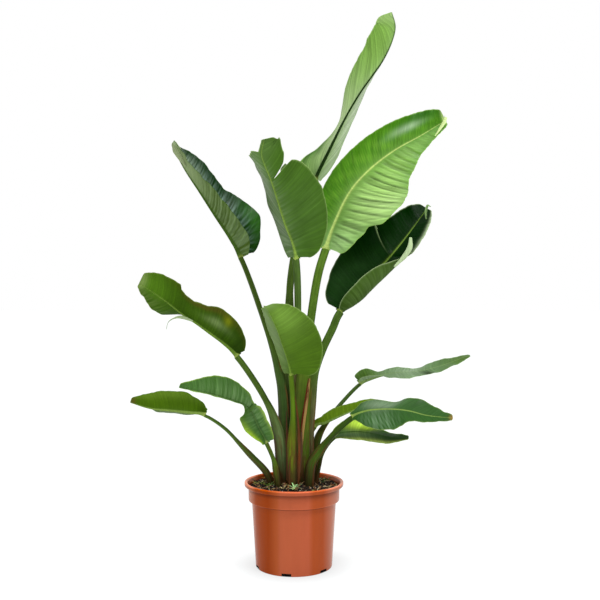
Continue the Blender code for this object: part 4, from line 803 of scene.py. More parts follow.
def relief(look, u, span, across, seed):
    """How far the upper surface stands off the smooth blade, and the painted light and shade on
    its pleats.
    """
    right_depth, left_depth, spacing = look["pleat"]
    run = (u * span)[:, None] * MM
    share, right = np.abs(across), across > 0
    fade = np.interp(u, FADE_PLACES, (1.0, 1.0, look["tip_pleat"], TIP_FADE))[:, None]
    pleats = ripple(run + PLEAT_LEAN * across, spacing, seed + PLEAT_SEED)
    pleats = np.where(pleats > PLEAT_CREST, PLEAT_CREST + PLEAT_FLAT * (pleats - PLEAT_CREST),
                      pleats)
    ends = (soft_step(u, *BASE_BLEND) * (1.0 - soft_step(u, *TIP_BLEND)))[:, None]
    body = soft_step(share, *RIB_BLEND) * (1.0 - EDGE_CALM * soft_step(share, *EDGE_BLEND)) * ends
    high, wide = look["wave"]
    edge = high * ripple(run + WAVE_SHIFT * np.sign(across), wide, seed + WAVE_SEED) * share ** 3
    fine = FINE_PLEAT[0] * ripple(run, FINE_PLEAT[1], seed + FINE_SEED)
    total = (np.where(right, right_depth, left_depth) * fade * pleats + fine) * body + edge * ends
    for name, place, inner, lift, reach in look["tears"]:
        near = np.where(u < place, np.exp(-(place - u) * span * MM / reach), 0.0)[:, None]
        total += lift * near * soft_step(share, inner, 1.0) * (right == (name == "right"))
    return total / MM, pleats * body * fade * np.where(right, *look["shades"])


def paint(look, side, u, across, reach, span):
    """The colour of each point of one face of a blade."""
    colour = np.ones((*across.shape, 3)) * shade(look[side])
    place = np.broadcast_to(u[:, None], across.shape)
    for at, far, middle, wide, tone, strength, *streaks in look["on_" + side]:
        weight = strength * np.exp(-((place - at) / far) ** 2 - ((across - middle) / wide) ** 2)
        if streaks:
            spacing, depth = (*streaks, STREAK_DEPTH)[:2]
            lines = ripple(place * span * MM + STREAK_LEAN * across, spacing, STREAK_SEED)
            weight = weight * np.clip(1.0 - depth + depth * lines, 0.0, 1.0)
        colour = toward(colour, weight, tone)
    margin = MARGIN_STRENGTH * np.exp(-((1.0 - np.abs(across)) * reach / MARGIN_WIDTH) ** 2)
    return toward(colour, margin, look["margin"])


def rib_section(leaf, u, lower, upper):
    """The midrib between the two halves: its channel above and its round keel below."""
    start, span = blade_span(leaf)
    middle, _, up, right = frame_at(leaf, start + u * span)
    wide = rib_half_width(leaf, u)[:, None]
    tip = rounded_tip(u)
    depth = (leaf["stem"][3] + RIB_THICKNESS / 2) * np.interp(u, *RIB_DEPTHS)[:, None] * tip
    share = np.arange(1, RIB_COLUMNS + 1) / (RIB_COLUMNS + 1)
    t = share[None, :, None]
    left, far = upper
    pull = (2 * (middle - up * wide * CHANNEL) - (left + far) / 2)[:, None]
    channel = (1 - t) ** 2 * left[:, None] + 2 * t * (1 - t) * pull + t ** 2 * far[:, None]
    side, drop = -np.cos(math.pi * share)[None, :, None], np.sin(math.pi * share)[None, :, None]
    keel = (middle[:, None] + side * (wide * tip)[..., None] * right[:, None]
            - drop * depth[..., None] * up[:, None])
    hold = np.abs(side) ** KEEL_JOIN
    edges = np.where(side < 0, lower[0][:, None], lower[1][:, None])
    return channel, keel * (1 - hold) + edges * hold


def shell_parts(upper, lower):
    """Points and faces of a closed thin body from two matching grids, the first facing up."""
    rows, columns = upper.shape[:2]
    count = rows * columns
    index = np.arange(count).reshape(rows, columns)
    corners = (index[:-1, :-1], index[:-1, 1:], index[1:, 1:], index[1:, :-1])
    top = np.stack([corner.ravel() for corner in corners], axis=1)
    rims = [np.stack([line[1:], line[:-1], line[:-1] + count, line[1:] + count], axis=1)
            for line in (index[0, ::-1], index[:, 0], index[-1, :], index[::-1, -1])]
    points = np.vstack([upper.reshape(-1, 3), lower.reshape(-1, 3)])
    return points, np.vstack([top, top[:, ::-1] + count, *rims]), len(top)


def new_mesh(name, points, faces):
    """A mesh of points and faces."""
    mesh = bpy.data.meshes.new(name)
    mesh.from_pydata(np.asarray(points).tolist(), [], faces)
    return mesh


def smooth_mesh(mesh, degrees):
    """Smooth shading, with sharp edges kept."""
    mesh.polygons.foreach_set("use_smooth", np.ones(len(mesh.polygons), dtype=bool))
    mesh.set_sharp_from_angle(angle=math.radians(degrees))


def put_colours(mesh, colours, gloss=1.0):
    """Paint a mesh's points, and say how glossy they are."""
    tint = mesh.attributes.new("tint", "FLOAT_COLOR", "POINT")
    full = np.ones((len(colours), 4))
    full[:, :3], full[:, 3] = colours, gloss
    tint.data.foreach_set("color", full.ravel())


def put_veins(mesh, vectors):
    """Give a mesh's points places along and across their veins for its materials."""
    field = mesh.attributes.new("veins", "FLOAT_VECTOR", "POINT")
    field.data.foreach_set("vector", np.asarray(vectors, dtype=float).ravel())


def new_piece(name, mesh, *materials):
    """Put a mesh in the scene with its materials."""
    thing = bpy.data.objects.new(name, mesh)
    bpy.context.scene.collection.objects.link(thing)
    for material in materials:
        mesh.materials.append(MATERIALS[material])
    return thing


def place_piece(piece, slot, *nodes):
    """Ride on the plant and stand for the solids that it covers; its slot is not used."""
    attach(piece, "root")
    if nodes:
        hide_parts(*nodes)


def blade_half(leaf, look, u, span, name, seed, shift):
    """One half of a blade: both faces, places across and out, reach, and painted light and shade
    on its pleats.
    """
    order = slice(None, None, -1 if name == "left" else 1)
    grid, out, reach = [field[:, order] for field in half_points(leaf, name, u, seed + shift)]
    across = np.broadcast_to(np.sign(out[0, 0]) * SHARES[order], out.shape)
    lift, ridge = relief(look, u, span, across, seed)
    grid = grid + grid_normals(grid) * lift[..., None]
    thin = SHEET * (1.0 - THIN_EDGE[0] * np.abs(across) ** THIN_EDGE[1])
    return grid, grid - grid_normals(grid) * thin[..., None], across, out, reach, ridge


def make_blade(name, seed):
    """A blade as a thin waved shell with a midrib that stands out below it."""
    look = LOOKS[name]
    leaf = {**LEAVES[name], "keel": look["keel"]}
    u = fine_places(leaf, look)
    _, span = blade_span(leaf)
    left = blade_half(leaf, look, u, span, "left", seed, 0)
    right = blade_half(leaf, look, u, span, "right", seed, RIGHT_SEED)
    channel, keel = rib_section(leaf, u, (left[1][:, -1], right[1][:, 0]),
                                (left[0][:, -1], right[0][:, 0]))
    flat = np.zeros((len(u), RIB_COLUMNS))
    rib_out = np.linspace(-1, 1, RIB_COLUMNS) * rib_half_width(leaf, u)[:, None]
    middle = (channel, keel, flat, rib_out, flat + 1.0, flat)
    upper, lower, across, out, reach, ridge = [np.concatenate(parts, axis=1)
                                               for parts in zip(left, middle, right)]
    rib = RIB_STRENGTH * np.exp(-(across / RIB_GLOW) ** 2)
    rib[:, len(SHARES):-len(SHARES)] = 1.0
    fade = (1.0 - (1.0 - TIP_RIB) * soft_step(u, *RIB_FADE))[:, None]
    collar = COLLAR_STRENGTH * np.exp(-(u * span / COLLAR_REACH) ** 2)[:, None]
    colours = []
    for side, turn in (("upper", 1.0), ("lower", -1.0)):
        # Painted light and shade on the pleats: paler crests and darker hollows on the upper face,
        # the reverse below
        colour = paint(look, side, u, across, reach, span) * (1.0 + turn * ridge[..., None])
        colour = toward(colour, rib * fade, look["rib_" + side])
        colours.append(toward(colour, collar * rib, COLLAR_TONE).reshape(-1, 3))
    points, faces, top = shell_parts(upper, lower)
    mesh = new_mesh("blade_" + name, points, faces.tolist())
    mesh.polygons.foreach_set("material_index", (np.arange(len(faces)) >= top).astype(np.int32))
    put_colours(mesh, np.vstack(colours), look["gloss"])
    run = (u * span)[:, None] - look["slant"] * np.abs(out)
    veins = np.stack([run, out, np.full(out.shape, seed * BLADE_SHIFT)], axis=-1).reshape(-1, 3)
    put_veins(mesh, np.vstack([veins, veins]))
    smooth_mesh(mesh, SHARP["blade"])
    blade = new_piece("blade_" + name, mesh, "leaf_upper", look["skin"])
    place_piece(blade, "leaf", "leaf_" + name)


def stalk_section(leaf, share, wing):
    """A stalk's outline across it, with thin flat wings where it sheathes the others."""
    foot_wide, foot_thick, top_wide, top_thick = leaf["stem"]
    wide = np.interp(share, SHEATH, [foot_wide, top_wide])
    thick = np.interp(share, SHEATH, [foot_thick, top_thick])
    angle = TURN * np.arange(STALK_SIDES) / STALK_SIDES
    side, rise = np.cos(angle), np.sin(angle)
    groove = GROOVE * np.interp(share, GROOVE_START, [0.0, 1.0])
    rise = np.where(rise > 0, rise - groove * rise ** 3, rise)
    return wide * side * (1.0 + wing / wide * np.abs(side) ** WING_EDGE), thick * rise, angle


def make_stalk(name, seed):
    """A stalk with its sheath, from its foot in the soil into the start of its blade."""
    leaf, look = LEAVES[name], LOOKS[name]
    _, _, base = leaf_path(leaf)
    buried = SOIL_LINE - FOOT
    count = round((base - buried) / RING_SPACING)
    distances = np.array([0.0, *np.linspace(buried, base, count + 1), base + STALK_END])
    share = np.clip((distances - buried) / (base - buried), 0.0, 1.0)
    centres, _, ups, sides = frame_at(leaf, distances)
    level = unit(np.array([sides[1][0], sides[1][1], 0.0]))
    for k, height in enumerate((FOOT, SOIL_LINE)):
        centres[k] = (*leaf["foot"], height)
    sides[:2], ups[:2] = level, np.cross(level, [0.0, 0.0, 1.0])
    swell = 1.0 + RIDGES * np.sign(ripple(np.arange(STALK_SIDES), RIDGE_SPACING, seed))
    inner = 1.0 if leaf["foot"][0] < CLUMP_MIDDLE else -1.0
    rings, tints, browns, places = [], [], [], []
    for k, distance in enumerate(distances):
        wing = WING * (1.0 - soft_step(share[k], *SHEATH))
        sideways, upward, angle = stalk_section(leaf, share[k], wing)
        size = swell * (END_SHRINK if k == len(distances) - 1 else 1.0)
        sink = RIB_THICKNESS / 2 * share[k] ** 2
        rings.append(centres[k] - ups[k] * sink + np.outer(sideways * size, sides[k])
                     + np.outer(upward * size, ups[k]))
        dry = DRY_LEVEL[0] + DRY_LEVEL[1] * ripple(distance, MARGIN_SPACING, seed)
        dry = np.clip(dry, 0.0, 1.0) * min(1.0, wing / DRY_WING)
        rise = distance - buried
        tints.append(stalk_colour(look, share[k], rise, angle, dry, inner))
        flat = np.ones(STALK_SIDES)
        browns.append(flat * (1.0 - soft_step(rise, *BROWN_RISE)))
        places.append(np.stack([flat * distance, angle * STALK_ROUND + seed * STALK_SHIFTS[0],
                                flat * seed * STALK_SHIFTS[1]], axis=-1))
    index, _, quads = ring_faces(len(rings), STALK_SIDES)
    faces = [*quads.tolist(), index[0].tolist(), index[-1][::-1].tolist()]
    mesh = new_mesh("stem_" + name, np.vstack(rings), faces)
    put_colours(mesh, np.vstack(tints), np.concatenate(browns))
    put_veins(mesh, np.vstack(places))
    smooth_mesh(mesh, SHARP["stalk"])
    place_piece(new_piece("stem_" + name, mesh, "stalk"), "stalk", "stalk_" + name)


def stalk_colour(look, share, rise, angle, dry, inner):
    """A stalk's colours round one ring: brown at its foot, then its sheath's and its own, with
    painted shade on its sides and on the clump's inner side.
    """
    sheath, stalk = shade(look["sheath"]), shade(look["stalk"])
    tone = sheath + soft_step(share, *STALK_BLEND) * (stalk - sheath)
    low = FOOT_STRENGTH * (1.0 - soft_step(rise, *FOOT_RISE)) * np.ones(len(angle))
    colour = toward(np.ones((len(angle), 3)) * tone, low, FOOT_TONE)
    # The clump's inner side: its own purple-brown, partly painted shade between the stalks
    inside = np.clip(inner * np.cos(angle) + INNER_SHIFT, 0.0, 1.0)
    inside *= INNER_STRENGTH * (1.0 - soft_step(share, *INNER_BLEND))
    colour = toward(colour, inside, INNER_TONE)
    side = np.abs(np.cos(angle))
    # Painted shade on the stalk's two sides
    colour *= 1.0 - STALK_SHADE * (1.0 - SHADE_EASE * share) * side[:, None] ** 4
    return toward(colour, MARGIN_STRENGTH * dry * side ** DRY_EDGE, MARGIN_BROWN)


def ring_faces(rows, steps):
    """Point numbers of closed rings, those a step on, and the faces between the rings."""
    index = np.arange(rows * steps).reshape(rows, steps)
    ahead = np.roll(index, -1, axis=1)
    quads = np.stack([ahead[:-1], index[:-1], index[1:], ahead[1:]], axis=-1)
    return index, ahead, quads.reshape(-1, 4)


def wall_radius(height):
    """The pot's outer radius below its collar."""
    return BASE_RADIUS + (SHOULDER_RADIUS - BASE_RADIUS) * height / COLLAR_BOTTOM


def pot_profile():
    """The pot's section: inside of the floor, up the inside, over the lip and down."""
    inside = [(0.0, FLOOR_THICKNESS), (wall_radius(0.0) - WALL - BASE_ROUND, FLOOR_THICKNESS),
              (wall_radius(BASE_ROUND) - WALL, FLOOR_THICKNESS + BASE_ROUND / 2),
              (wall_radius(COLLAR_BOTTOM) - WALL, COLLAR_BOTTOM),
              (COLLAR_RADIUS - WALL, COLLAR_BOTTOM + WALL),
              (COLLAR_RADIUS - WALL * LIP_WALL, LIP_BOTTOM),
              (COLLAR_RADIUS + WALL, POT_HEIGHT - WALL)]
    lip = [(COLLAR_RADIUS + 2 * WALL, POT_HEIGHT), (LIP_RADIUS, POT_HEIGHT, LIP_ROUND),
           (LIP_RADIUS, LIP_BOTTOM, LIP_ROUND), (COLLAR_RADIUS + LIP_CREASE[0], LIP_BOTTOM),
           (COLLAR_RADIUS, LIP_BOTTOM - LIP_CREASE[1])]
    outside = [(COLLAR_RADIUS - COLLAR_SLOPE[0], COLLAR_BOTTOM),
               (wall_radius(COLLAR_BOTTOM), COLLAR_BOTTOM - COLLAR_SLOPE[1])]
    return [*inside, *lip, *outside, (BASE_RADIUS, 0.0), (0.0, 0.0)]


def rounded(profile):
    """A section with each corner replaced by an arc, larger where a third number says so."""
    rounds = [(*p, EDGE_ROUND)[2] for p in profile]
    points = [np.array(p[:2]) for p in profile]
    result = [points[0]]
    for before, corner, after, arc in zip(points, points[1:], points[2:], rounds[1:]):
        back, ahead = before - corner, after - corner
        reach = min(arc, ARC_SHARE * np.linalg.norm(back), ARC_SHARE * np.linalg.norm(ahead))
        start, end = corner + reach * unit(back), corner + reach * unit(ahead)
        for t in np.linspace(0.0, 1.0, ARC_POINTS):
            result.append((1 - t) ** 2 * start + 2 * t * (1 - t) * corner + t ** 2 * end)
    return [*result, points[-1]]


def turned_mesh(name, profile, steps):
    """A closed body turned about Z from (radius, height) points on and round the axis."""
    middle = profile[1:-1]
    turn = TURN * np.arange(steps) / steps
    ring = np.stack([np.cos(turn), np.sin(turn)], axis=-1)
    points = [np.column_stack([radius * ring, np.full(steps, height)])
              for radius, height in middle]
    points = np.vstack([*points, (0.0, 0.0, profile[0][1]), (0.0, 0.0, profile[-1][1])])
    index, ahead, quads = ring_faces(len(middle), steps)
    first, last = len(points) - 2, len(points) - 1
    caps = [(first, ahead[0, k], index[0, k]) for k in range(steps)]
    caps += [(last, index[-1, k], ahead[-1, k]) for k in range(steps)]
    return new_mesh(name, points, [*quads.tolist(), *caps])


def cut_boxes(thing, boxes):
    """Cut boxes from a piece and keep the result as its mesh."""
    cutters = []
    for size, place, turn in boxes:
        bpy.ops.mesh.primitive_cube_add(size=1.0, location=place, rotation=(0.0, 0.0, turn))
        cutters.append(bpy.context.active_object)
        cutters[-1].scale = size
        cut = thing.modifiers.new("cut", "BOOLEAN")
        cut.operation, cut.object, cut.solver = "DIFFERENCE", cutters[-1], "EXACT"
    bpy.context.view_layer.update()
    done = thing.evaluated_get(bpy.context.evaluated_depsgraph_get())
    thing.modifiers.clear()
    thing.data = bpy.data.meshes.new_from_object(done)
    for cutter in cutters:
        bpy.data.objects.remove(cutter, do_unlink=True)
    return thing.data


def make_pot():
    """The pot, with a rolled lip and drain slots whose cut faces are painted dark with the soil's
    material as painted shade.
    """
    shell = turned_mesh("pot_shell", rounded(pot_profile()), POT_STEPS)
    pot = new_piece("pot_shell", shell, "pot")
    turns = [SLOT_TURN + TURN * k / SLOTS for k in range(SLOTS)]
    mesh = cut_boxes(pot, [((SLOT_WIDTH, SLOT_DEPTH, 2 * SLOT_HEIGHT),
                            (BASE_RADIUS * math.sin(turn), -BASE_RADIUS * math.cos(turn), 0.0),
                            turn) for turn in turns])
    # Painted shade: the slots' cut faces take the dark soil material, for the shade under the pot
    mesh.materials.append(MATERIALS["crust"])
    for face in mesh.polygons:
        if face.center.z < SLOT_HEIGHT + SLOT_MARGIN / 2 and inside_slot(face.center):
            face.material_index = 1
    smooth_mesh(mesh, SHARP["pot"])
    place_piece(pot, "pot", "pot")


def inside_slot(place):
    """Whether a place lies within a drain slot and behind the pot's outer face."""
    radius = math.hypot(place.x, place.y)
    if radius > wall_radius(place.z) - SLOT_MARGIN or radius < BASE_RADIUS - SLOT_DEPTH:
        return False
    turn = math.atan2(place.x, -place.y) - SLOT_TURN
    step = TURN / SLOTS
    return abs((turn + step / 2) % step - step / 2) * radius < SLOT_WIDTH / 2 + SLOT_MARGIN


def crumbs(x, y, seed):
    """Uneven ground: bumps of several sizes, in metres."""
    dice = np.random.default_rng(seed)
    total = np.zeros_like(x)
    for size, high in CRUMBS:
        for _ in range(CRUMB_WAVES):
            turn, slide = dice.uniform(0.0, TURN, 2)
            wave = np.sin(TURN * (x * math.cos(turn) + y * math.sin(turn)) / size + slide)
            total += high * wave / CRUMB_LEVEL
    return total


def crust_height(x, y):
    """The crumbly surface's height at points of the soil."""
    lift = CRUST_LIFT + CRUST_RISE + crumbs(x, y, CRUST_SEED)
    return np.interp(np.hypot(x, y), *SOIL_SLOPE) + np.maximum(lift, CRUST_LIFT * CRUST_LOWEST)


def make_crust():
    """The soil's crumbly surface, as a thin body over the soil."""
    radius = np.sqrt(np.linspace(CRUST_MIDDLE, 1.0, CRUST_RINGS))
    radius *= COLLAR_RADIUS - WALL - CRUST_ROOM
    turn = TURN * np.arange(CRUST_STEPS) / CRUST_STEPS
    x, y = radius[:, None] * np.cos(turn), radius[:, None] * np.sin(turn)
    smooth = np.interp(radius, *SOIL_SLOPE)[:, None] * np.ones_like(x)
    upper = np.stack([x, y, crust_height(x, y)], axis=-1)
    lower = np.stack([x, y, smooth - CRUST_THICKNESS], axis=-1)
    index, ahead, quads = ring_faces(CRUST_RINGS, CRUST_STEPS)
    quads, count = np.roll(quads, -1, axis=1), CRUST_RINGS * CRUST_STEPS
    skirt = np.stack([ahead[-1], index[-1], index[-1] + count, ahead[-1] + count], axis=-1)
    faces = [*quads.tolist(), *(quads[:, ::-1] + count).tolist(), *skirt[:, ::-1].tolist(),
             index[0].tolist(), (index[0][::-1] + count).tolist()]
    mesh = new_mesh("soil_crust", np.vstack([upper.reshape(-1, 3), lower.reshape(-1, 3)]), faces)
    smooth_mesh(mesh, SHARP["crust"])
    place_piece(new_piece("soil_crust", mesh, "crust"), "soil")


def spin(dice):
    """A random turn."""
    turned, _ = np.linalg.qr(dice.normal(size=(3, 3)))
    return turned * np.sign(np.linalg.det(turned))


def chip(place, size, colour, dice):
    """A rough lump: a box with its corners pushed about."""
    corners = np.array([(x, y, z) for z in (-1, 1) for x, y in SQUARE], dtype=float)
    corners = corners * dice.uniform(*CHIP_ROUGHNESS, corners.shape) * size / 2
    faces = [(3, 2, 1, 0), (4, 5, 6, 7), (0, 1, 5, 4), (1, 2, 6, 5), (2, 3, 7, 6), (3, 0, 4, 7)]
    return corners @ spin(dice).T + place, faces, colour


def ribbon(points, widths, side, colour, cup=0.0):
    """A narrow leaf-thin strip along a curve, hollowed across by an angle."""
    curve = curve_through(points)[::RIBBON_STEP]
    share = np.linspace(0.0, 1.0, len(curve))
    wide = np.interp(share, np.linspace(0.0, 1.0, len(widths)), widths)[:, None] / 2
    heading = unit(np.gradient(curve, axis=0))
    side = square_to(np.array(side, dtype=float)[None, :], heading)
    up = np.cross(side, heading)
    cup = max(math.radians(cup), NO_CURL)
    turn = np.linspace(-1.0, 1.0, RIBBON_COLUMNS) * cup
    upper = (curve[:, None] + (wide * np.sin(turn) / cup)[..., None] * side[:, None]
             + (wide * (1.0 - np.cos(turn)) / cup)[..., None] * up[:, None])
    points, faces, _ = shell_parts(upper, upper - SHEET * up[:, None])
    return points, faces.tolist(), colour


def place_joined(name, slot, material, bodies):
    """Many small bodies as one piece, each in its own colour."""
    points, faces, colours, start = [], [], [], 0
    for body, sides, colour in bodies:
        points.append(body)
        faces += [[start + i for i in face] for face in sides]
        colours.append(np.ones((len(body), 3)) * shade(colour))
        start += len(body)
    mesh = new_mesh(name, np.vstack(points), faces)
    put_colours(mesh, np.vstack(colours))
    put_veins(mesh, np.vstack(points))
    smooth_mesh(mesh, SHARP["bits"])
    place_piece(new_piece(name, mesh, material), slot)


def on_soil(x, y, lift=0.0):
    """A place on the soil."""
    return np.array([x, y, float(crust_height(np.array(x), np.array(y))) + lift])


def scattered(dice, lift=0.0):
    """A random place on the soil."""
    radius, turn = LITTER_REACH * math.sqrt(dice.uniform()), dice.uniform(0, TURN)
    return on_soil(radius * math.sin(turn), -radius * math.cos(turn), lift)


def make_litter():
    """Bark chips, grit and dry fibres on the soil."""
    dice = np.random.default_rng(LITTER_SEED)
    bodies = []
    for count, sizes, tones, lift in LITTER:
        for _ in range(count):
            place = scattered(dice, lift)
            size = dice.uniform(*CHIP_SIZES) * np.array(sizes)
            bodies.append(chip(place, size, tones[dice.integers(len(tones))], dice))
    for _ in range(FIBRES):
        place = scattered(dice)
        turn, bend = dice.uniform(0, TURN), dice.uniform(*FIBRE_BENDS)
        length = dice.uniform(*FIBRE_LENGTHS)
        points = [place + (length * s * math.cos(turn + bend * s),
                           length * s * math.sin(turn + bend * s),
                           FIBRE_RISE[0] + FIBRE_RISE[1] * dice.uniform() * s)
                  for s in (0.0, 0.5, 1.0)]
        points[-1][:2] *= min(1.0, LITTER_REACH / max(np.hypot(*points[-1][:2]), 1e-6))
        tone = FIBRE_TONES[dice.integers(len(FIBRE_TONES))]
        bodies.append(ribbon(points, FIBRE_WIDTHS, (0, 0, 1), tone))
    place_joined("soil_litter", "soil", "litter", bodies)


def make_weeds():
    """Small green seedlings near the pot's edge and in front of the stalks."""
    dice = np.random.default_rng(WEED_SEED)
    up = np.array([0.0, 0.0, 1.0])
    bodies = []
    for x, y, count, length, wide, rise, tone in WEEDS:
        ground = on_soil(x, y)
        first = dice.uniform(0, TURN)
        for k in range(count):
            turn = first + TURN * k / count + dice.uniform(*WEED_TURNS)
            out = np.array([math.cos(turn), math.sin(turn), 0.0])
            reach = length * dice.uniform(*WEED_REACHES)
            lift = rise * dice.uniform(*WEED_LIFTS) * up
            points = [ground, ground + reach * (WEED_BEND[0] * out + WEED_BEND[1] * lift),
                      ground + reach * (out + lift)]
            tint = np.clip(np.array(tone) * dice.uniform(*WEED_TINTS), 0, 255)
            widths = (wide * WEED_FOOT, wide, WEED_TIP)
            bodies.append(ribbon(points, widths, np.cross(out, up), tint, WEED_CUP))
    place_joined("weeds", "leaf", "leaf_upper", bodies)


def make_strips(name, slot, material, strips):
    """Curled bits of the leaves' edges, or dry strips on the stalks."""
    place_joined(name, slot, material,
                 [ribbon(np.array(points) / MM, np.array(widths) / MM, side, tone, cup)
                  for points, widths, side, tone, cup in strips])


def make_camera():
    """The photograph's camera: level, looking along +Y."""
    camera = bpy.data.cameras.new("camera")
    camera.sensor_width = SENSOR_WIDTH
    camera.lens = FOCAL_PIXELS / FRAME_PIXELS * SENSOR_WIDTH
    viewer = put_object("camera", camera, CAMERA_PLACE)
    viewer.rotation_euler = (math.radians(90.0), 0.0, 0.0)
    bpy.context.scene.camera = viewer


def put_object(name, data, place=(0.0, 0.0, 0.0)):
    """A camera or light in the scene."""
    thing = bpy.data.objects.new(name, data)
    thing.location = place
    bpy.context.scene.collection.objects.link(thing)
    return thing


def make_light():
    """White surroundings, windows in front, and soft light from above and behind."""
    scene = bpy.context.scene
    scene.view_settings.view_transform = "Standard"
    make_world(scene)
    for name, place, aim, size, energy in WINDOWS:
        lamp = bpy.data.lights.new(name, "AREA")
        lamp.shape = "RECTANGLE"
        lamp.size, lamp.size_y = size
        lamp.energy = energy
        turned = (Vector(aim) - Vector(place)).to_track_quat("-Z", "Y")
        put_object(name, lamp, place).rotation_euler = turned.to_euler()
    lamp = bpy.data.lights.new("overhead", "SUN")
    lamp.energy = SKY_STRENGTH
    lamp.angle = SKY_SPREAD
    put_object("overhead", lamp).rotation_euler = SKY_TURN


def make_world(scene):
    """A studio that is white behind and above the plant and dim in front of it."""
    world = bpy.data.worlds.new("studio")
    world.use_nodes = True
    scene.world = world
    tree = world.node_tree
    place = node(tree, "TexCoord", "Generated")
    behind = remap(tree, axis(tree, place, "Y"), *BEHIND, DIM_STUDIO, 1.0)
    above = remap(tree, axis(tree, place, "Z"), *ABOVE, 0.0, ABOVE_LIGHT)
    white = maths(tree, "MAXIMUM", maths(tree, "ADD", behind, above),
                  node(tree, "LightPath", "Is Camera Ray"))
    feed(tree, tree.nodes["Background"], {"Strength": white, "Color": WHITE})


def make_floor():
    """A plain pale floor."""
    points = [(x * FLOOR_REACH, y * FLOOR_REACH, 0.0) for x, y in SQUARE]
    floor = new_piece("floor", new_mesh("floor", points, [(0, 1, 2, 3)]), "floor")


def feed(tree, target, inputs):
    """Link a node's inputs to sockets, or set them to plain values."""
    for key, value in inputs.items():
        if isinstance(value, bpy.types.NodeSocket):
            tree.links.new(value, target.inputs[key])
        else:
            target.inputs[key].default_value = value


def node(tree, kind, output, inputs=None, **settings):
    """A new node's output, with its settings made and its inputs fed."""
    made = tree.nodes.new("ShaderNode" + kind)
    for key, value in settings.items():
        setattr(made, key, value)
    feed(tree, made, inputs or {})
    return made.outputs[output]


def maths(tree, operation, *values):
    """Two values put together by an operation."""
    return node(tree, "Math", 0, dict(enumerate(values)), operation=operation)


def product(tree, first, *others):
    """Values times each other."""
    for other in others:
        first = maths(tree, "MULTIPLY", first, other)
    return first


def times(tree, colour, value):
    """A colour times a number."""
    return node(tree, "VectorMath", "Vector", {0: colour, "Scale": value}, operation="SCALE")


def axis(tree, vector, letter):
    """A vector's share along one axis."""
    return node(tree, "SeparateXYZ", letter, {"Vector": vector})


def scaled(tree, vector, scale):
    """A vector times a scale on each axis."""
    return node(tree, "Mapping", "Vector", {"Vector": vector, "Scale": scale})


def radius_of(tree, vector):
    """A vector's length."""
    return node(tree, "VectorMath", "Value", {0: vector}, operation="LENGTH")


def noise(tree, vector, scale, detail=3.0, rough=0.55):
    """Noise on a vector, from about 0 to 1, at one scale or at one on each axis."""
    if isinstance(scale, tuple):
        vector, scale = scaled(tree, vector, scale), 1.0
    return node(tree, "TexNoise", "Fac", {"Vector": vector, "Scale": scale, "Detail": detail,
                                          "Roughness": rough})


def remap(tree, value, low, high, to_low, to_high):
    """A value stretched from one range to another."""
    return node(tree, "MapRange", "Result", {"Value": value, "From Min": low, "From Max": high,
                                             "To Min": to_low, "To Max": to_high})


def spread(tree, value, low, high):
    """The usual range of noise stretched to another range."""
    return remap(tree, value, *NOISE_RANGE, low, high)


def bump(tree, height, strength, distance, **before):
    """Fine relief in the shading."""
    return node(tree, "Bump", "Normal", {"Strength": strength, "Distance": distance,
                                         "Height": height, **before})


def mixed(tree, factor, colour, other):
    """A colour socket taken towards another colour by a factor from 0 to 1."""
    return node(tree, "Mix", 2, {"Factor": factor, 6: colour, 7: (*shade(other), 1.0)},
                data_type="RGBA")


def ramp(tree, value, low, high, stops):
    """A colour read from listed stops at values between two ends."""
    made = tree.nodes.new("ShaderNodeValToRGB")
    while len(made.color_ramp.elements) < len(stops):
        made.color_ramp.elements.new(0.5)
    for stop, (at, colour) in zip(made.color_ramp.elements, stops):
        stop.position = (at - low) / (high - low)
        stop.color = (*shade(colour), 1.0)
    feed(tree, made, {"Fac": remap(tree, value, low, high, 0.0, 1.0)})
    return made.outputs["Color"]


def new_material(name, roughness, specular):
    """A material with its shader's uniform values set, and its nodes."""
    material = bpy.data.materials.new(name)
    material.use_nodes = True
    return dressed(material, {"Roughness": roughness, "Specular IOR Level": specular})


def dressed(material, inputs):
    """A material with its shader fed, and its nodes."""
    tree = material.node_tree
    feed(tree, tree.nodes["Principled BSDF"], inputs)
    return material, tree


def painted(tree, name, output):
    """What was painted on a mesh's points."""
    return node(tree, "Attribute", output, attribute_name=name)


def leaf_material(name, roughness, specular, streaks):
    """Leaf skin: painted colour with streaks along the side veins, and fine relief."""
    material, tree = new_material(name, roughness, specular)
    veins = painted(tree, "veins", "Vector")
    streak = noise(tree, veins, LEAF_STREAKS, detail=4.0, rough=0.65)
    hair = noise(tree, veins, LEAF_HAIRS, detail=2.0)
    thread = noise(tree, veins, LEAF_THREADS, detail=1.0)
    cloud = noise(tree, veins, LEAF_CLOUDS)
    value = product(tree, spread(tree, streak, 1.0 - streaks, 1.0 + streaks),
                    spread(tree, cloud, *TONES["leaf"]),
                    remap(tree, thread, *THREAD_RANGE, 1.0, 1.0 + THREAD_STRENGTH * streaks),
                    spread(tree, hair, *TONES["hair"]))
    coarse = bump(tree, streak, *BUMPS["leaf"])
    return dressed(material, {
        "Base Color": times(tree, painted(tree, "tint", "Color"), value),
        "Roughness": spread(tree, cloud, *[roughness + step for step in LEAF_ROUGHER]),
        "Specular IOR Level": product(tree, painted(tree, "tint", "Alpha"), specular),
        "Normal": bump(tree, hair, *BUMPS["hair"], Normal=coarse)})


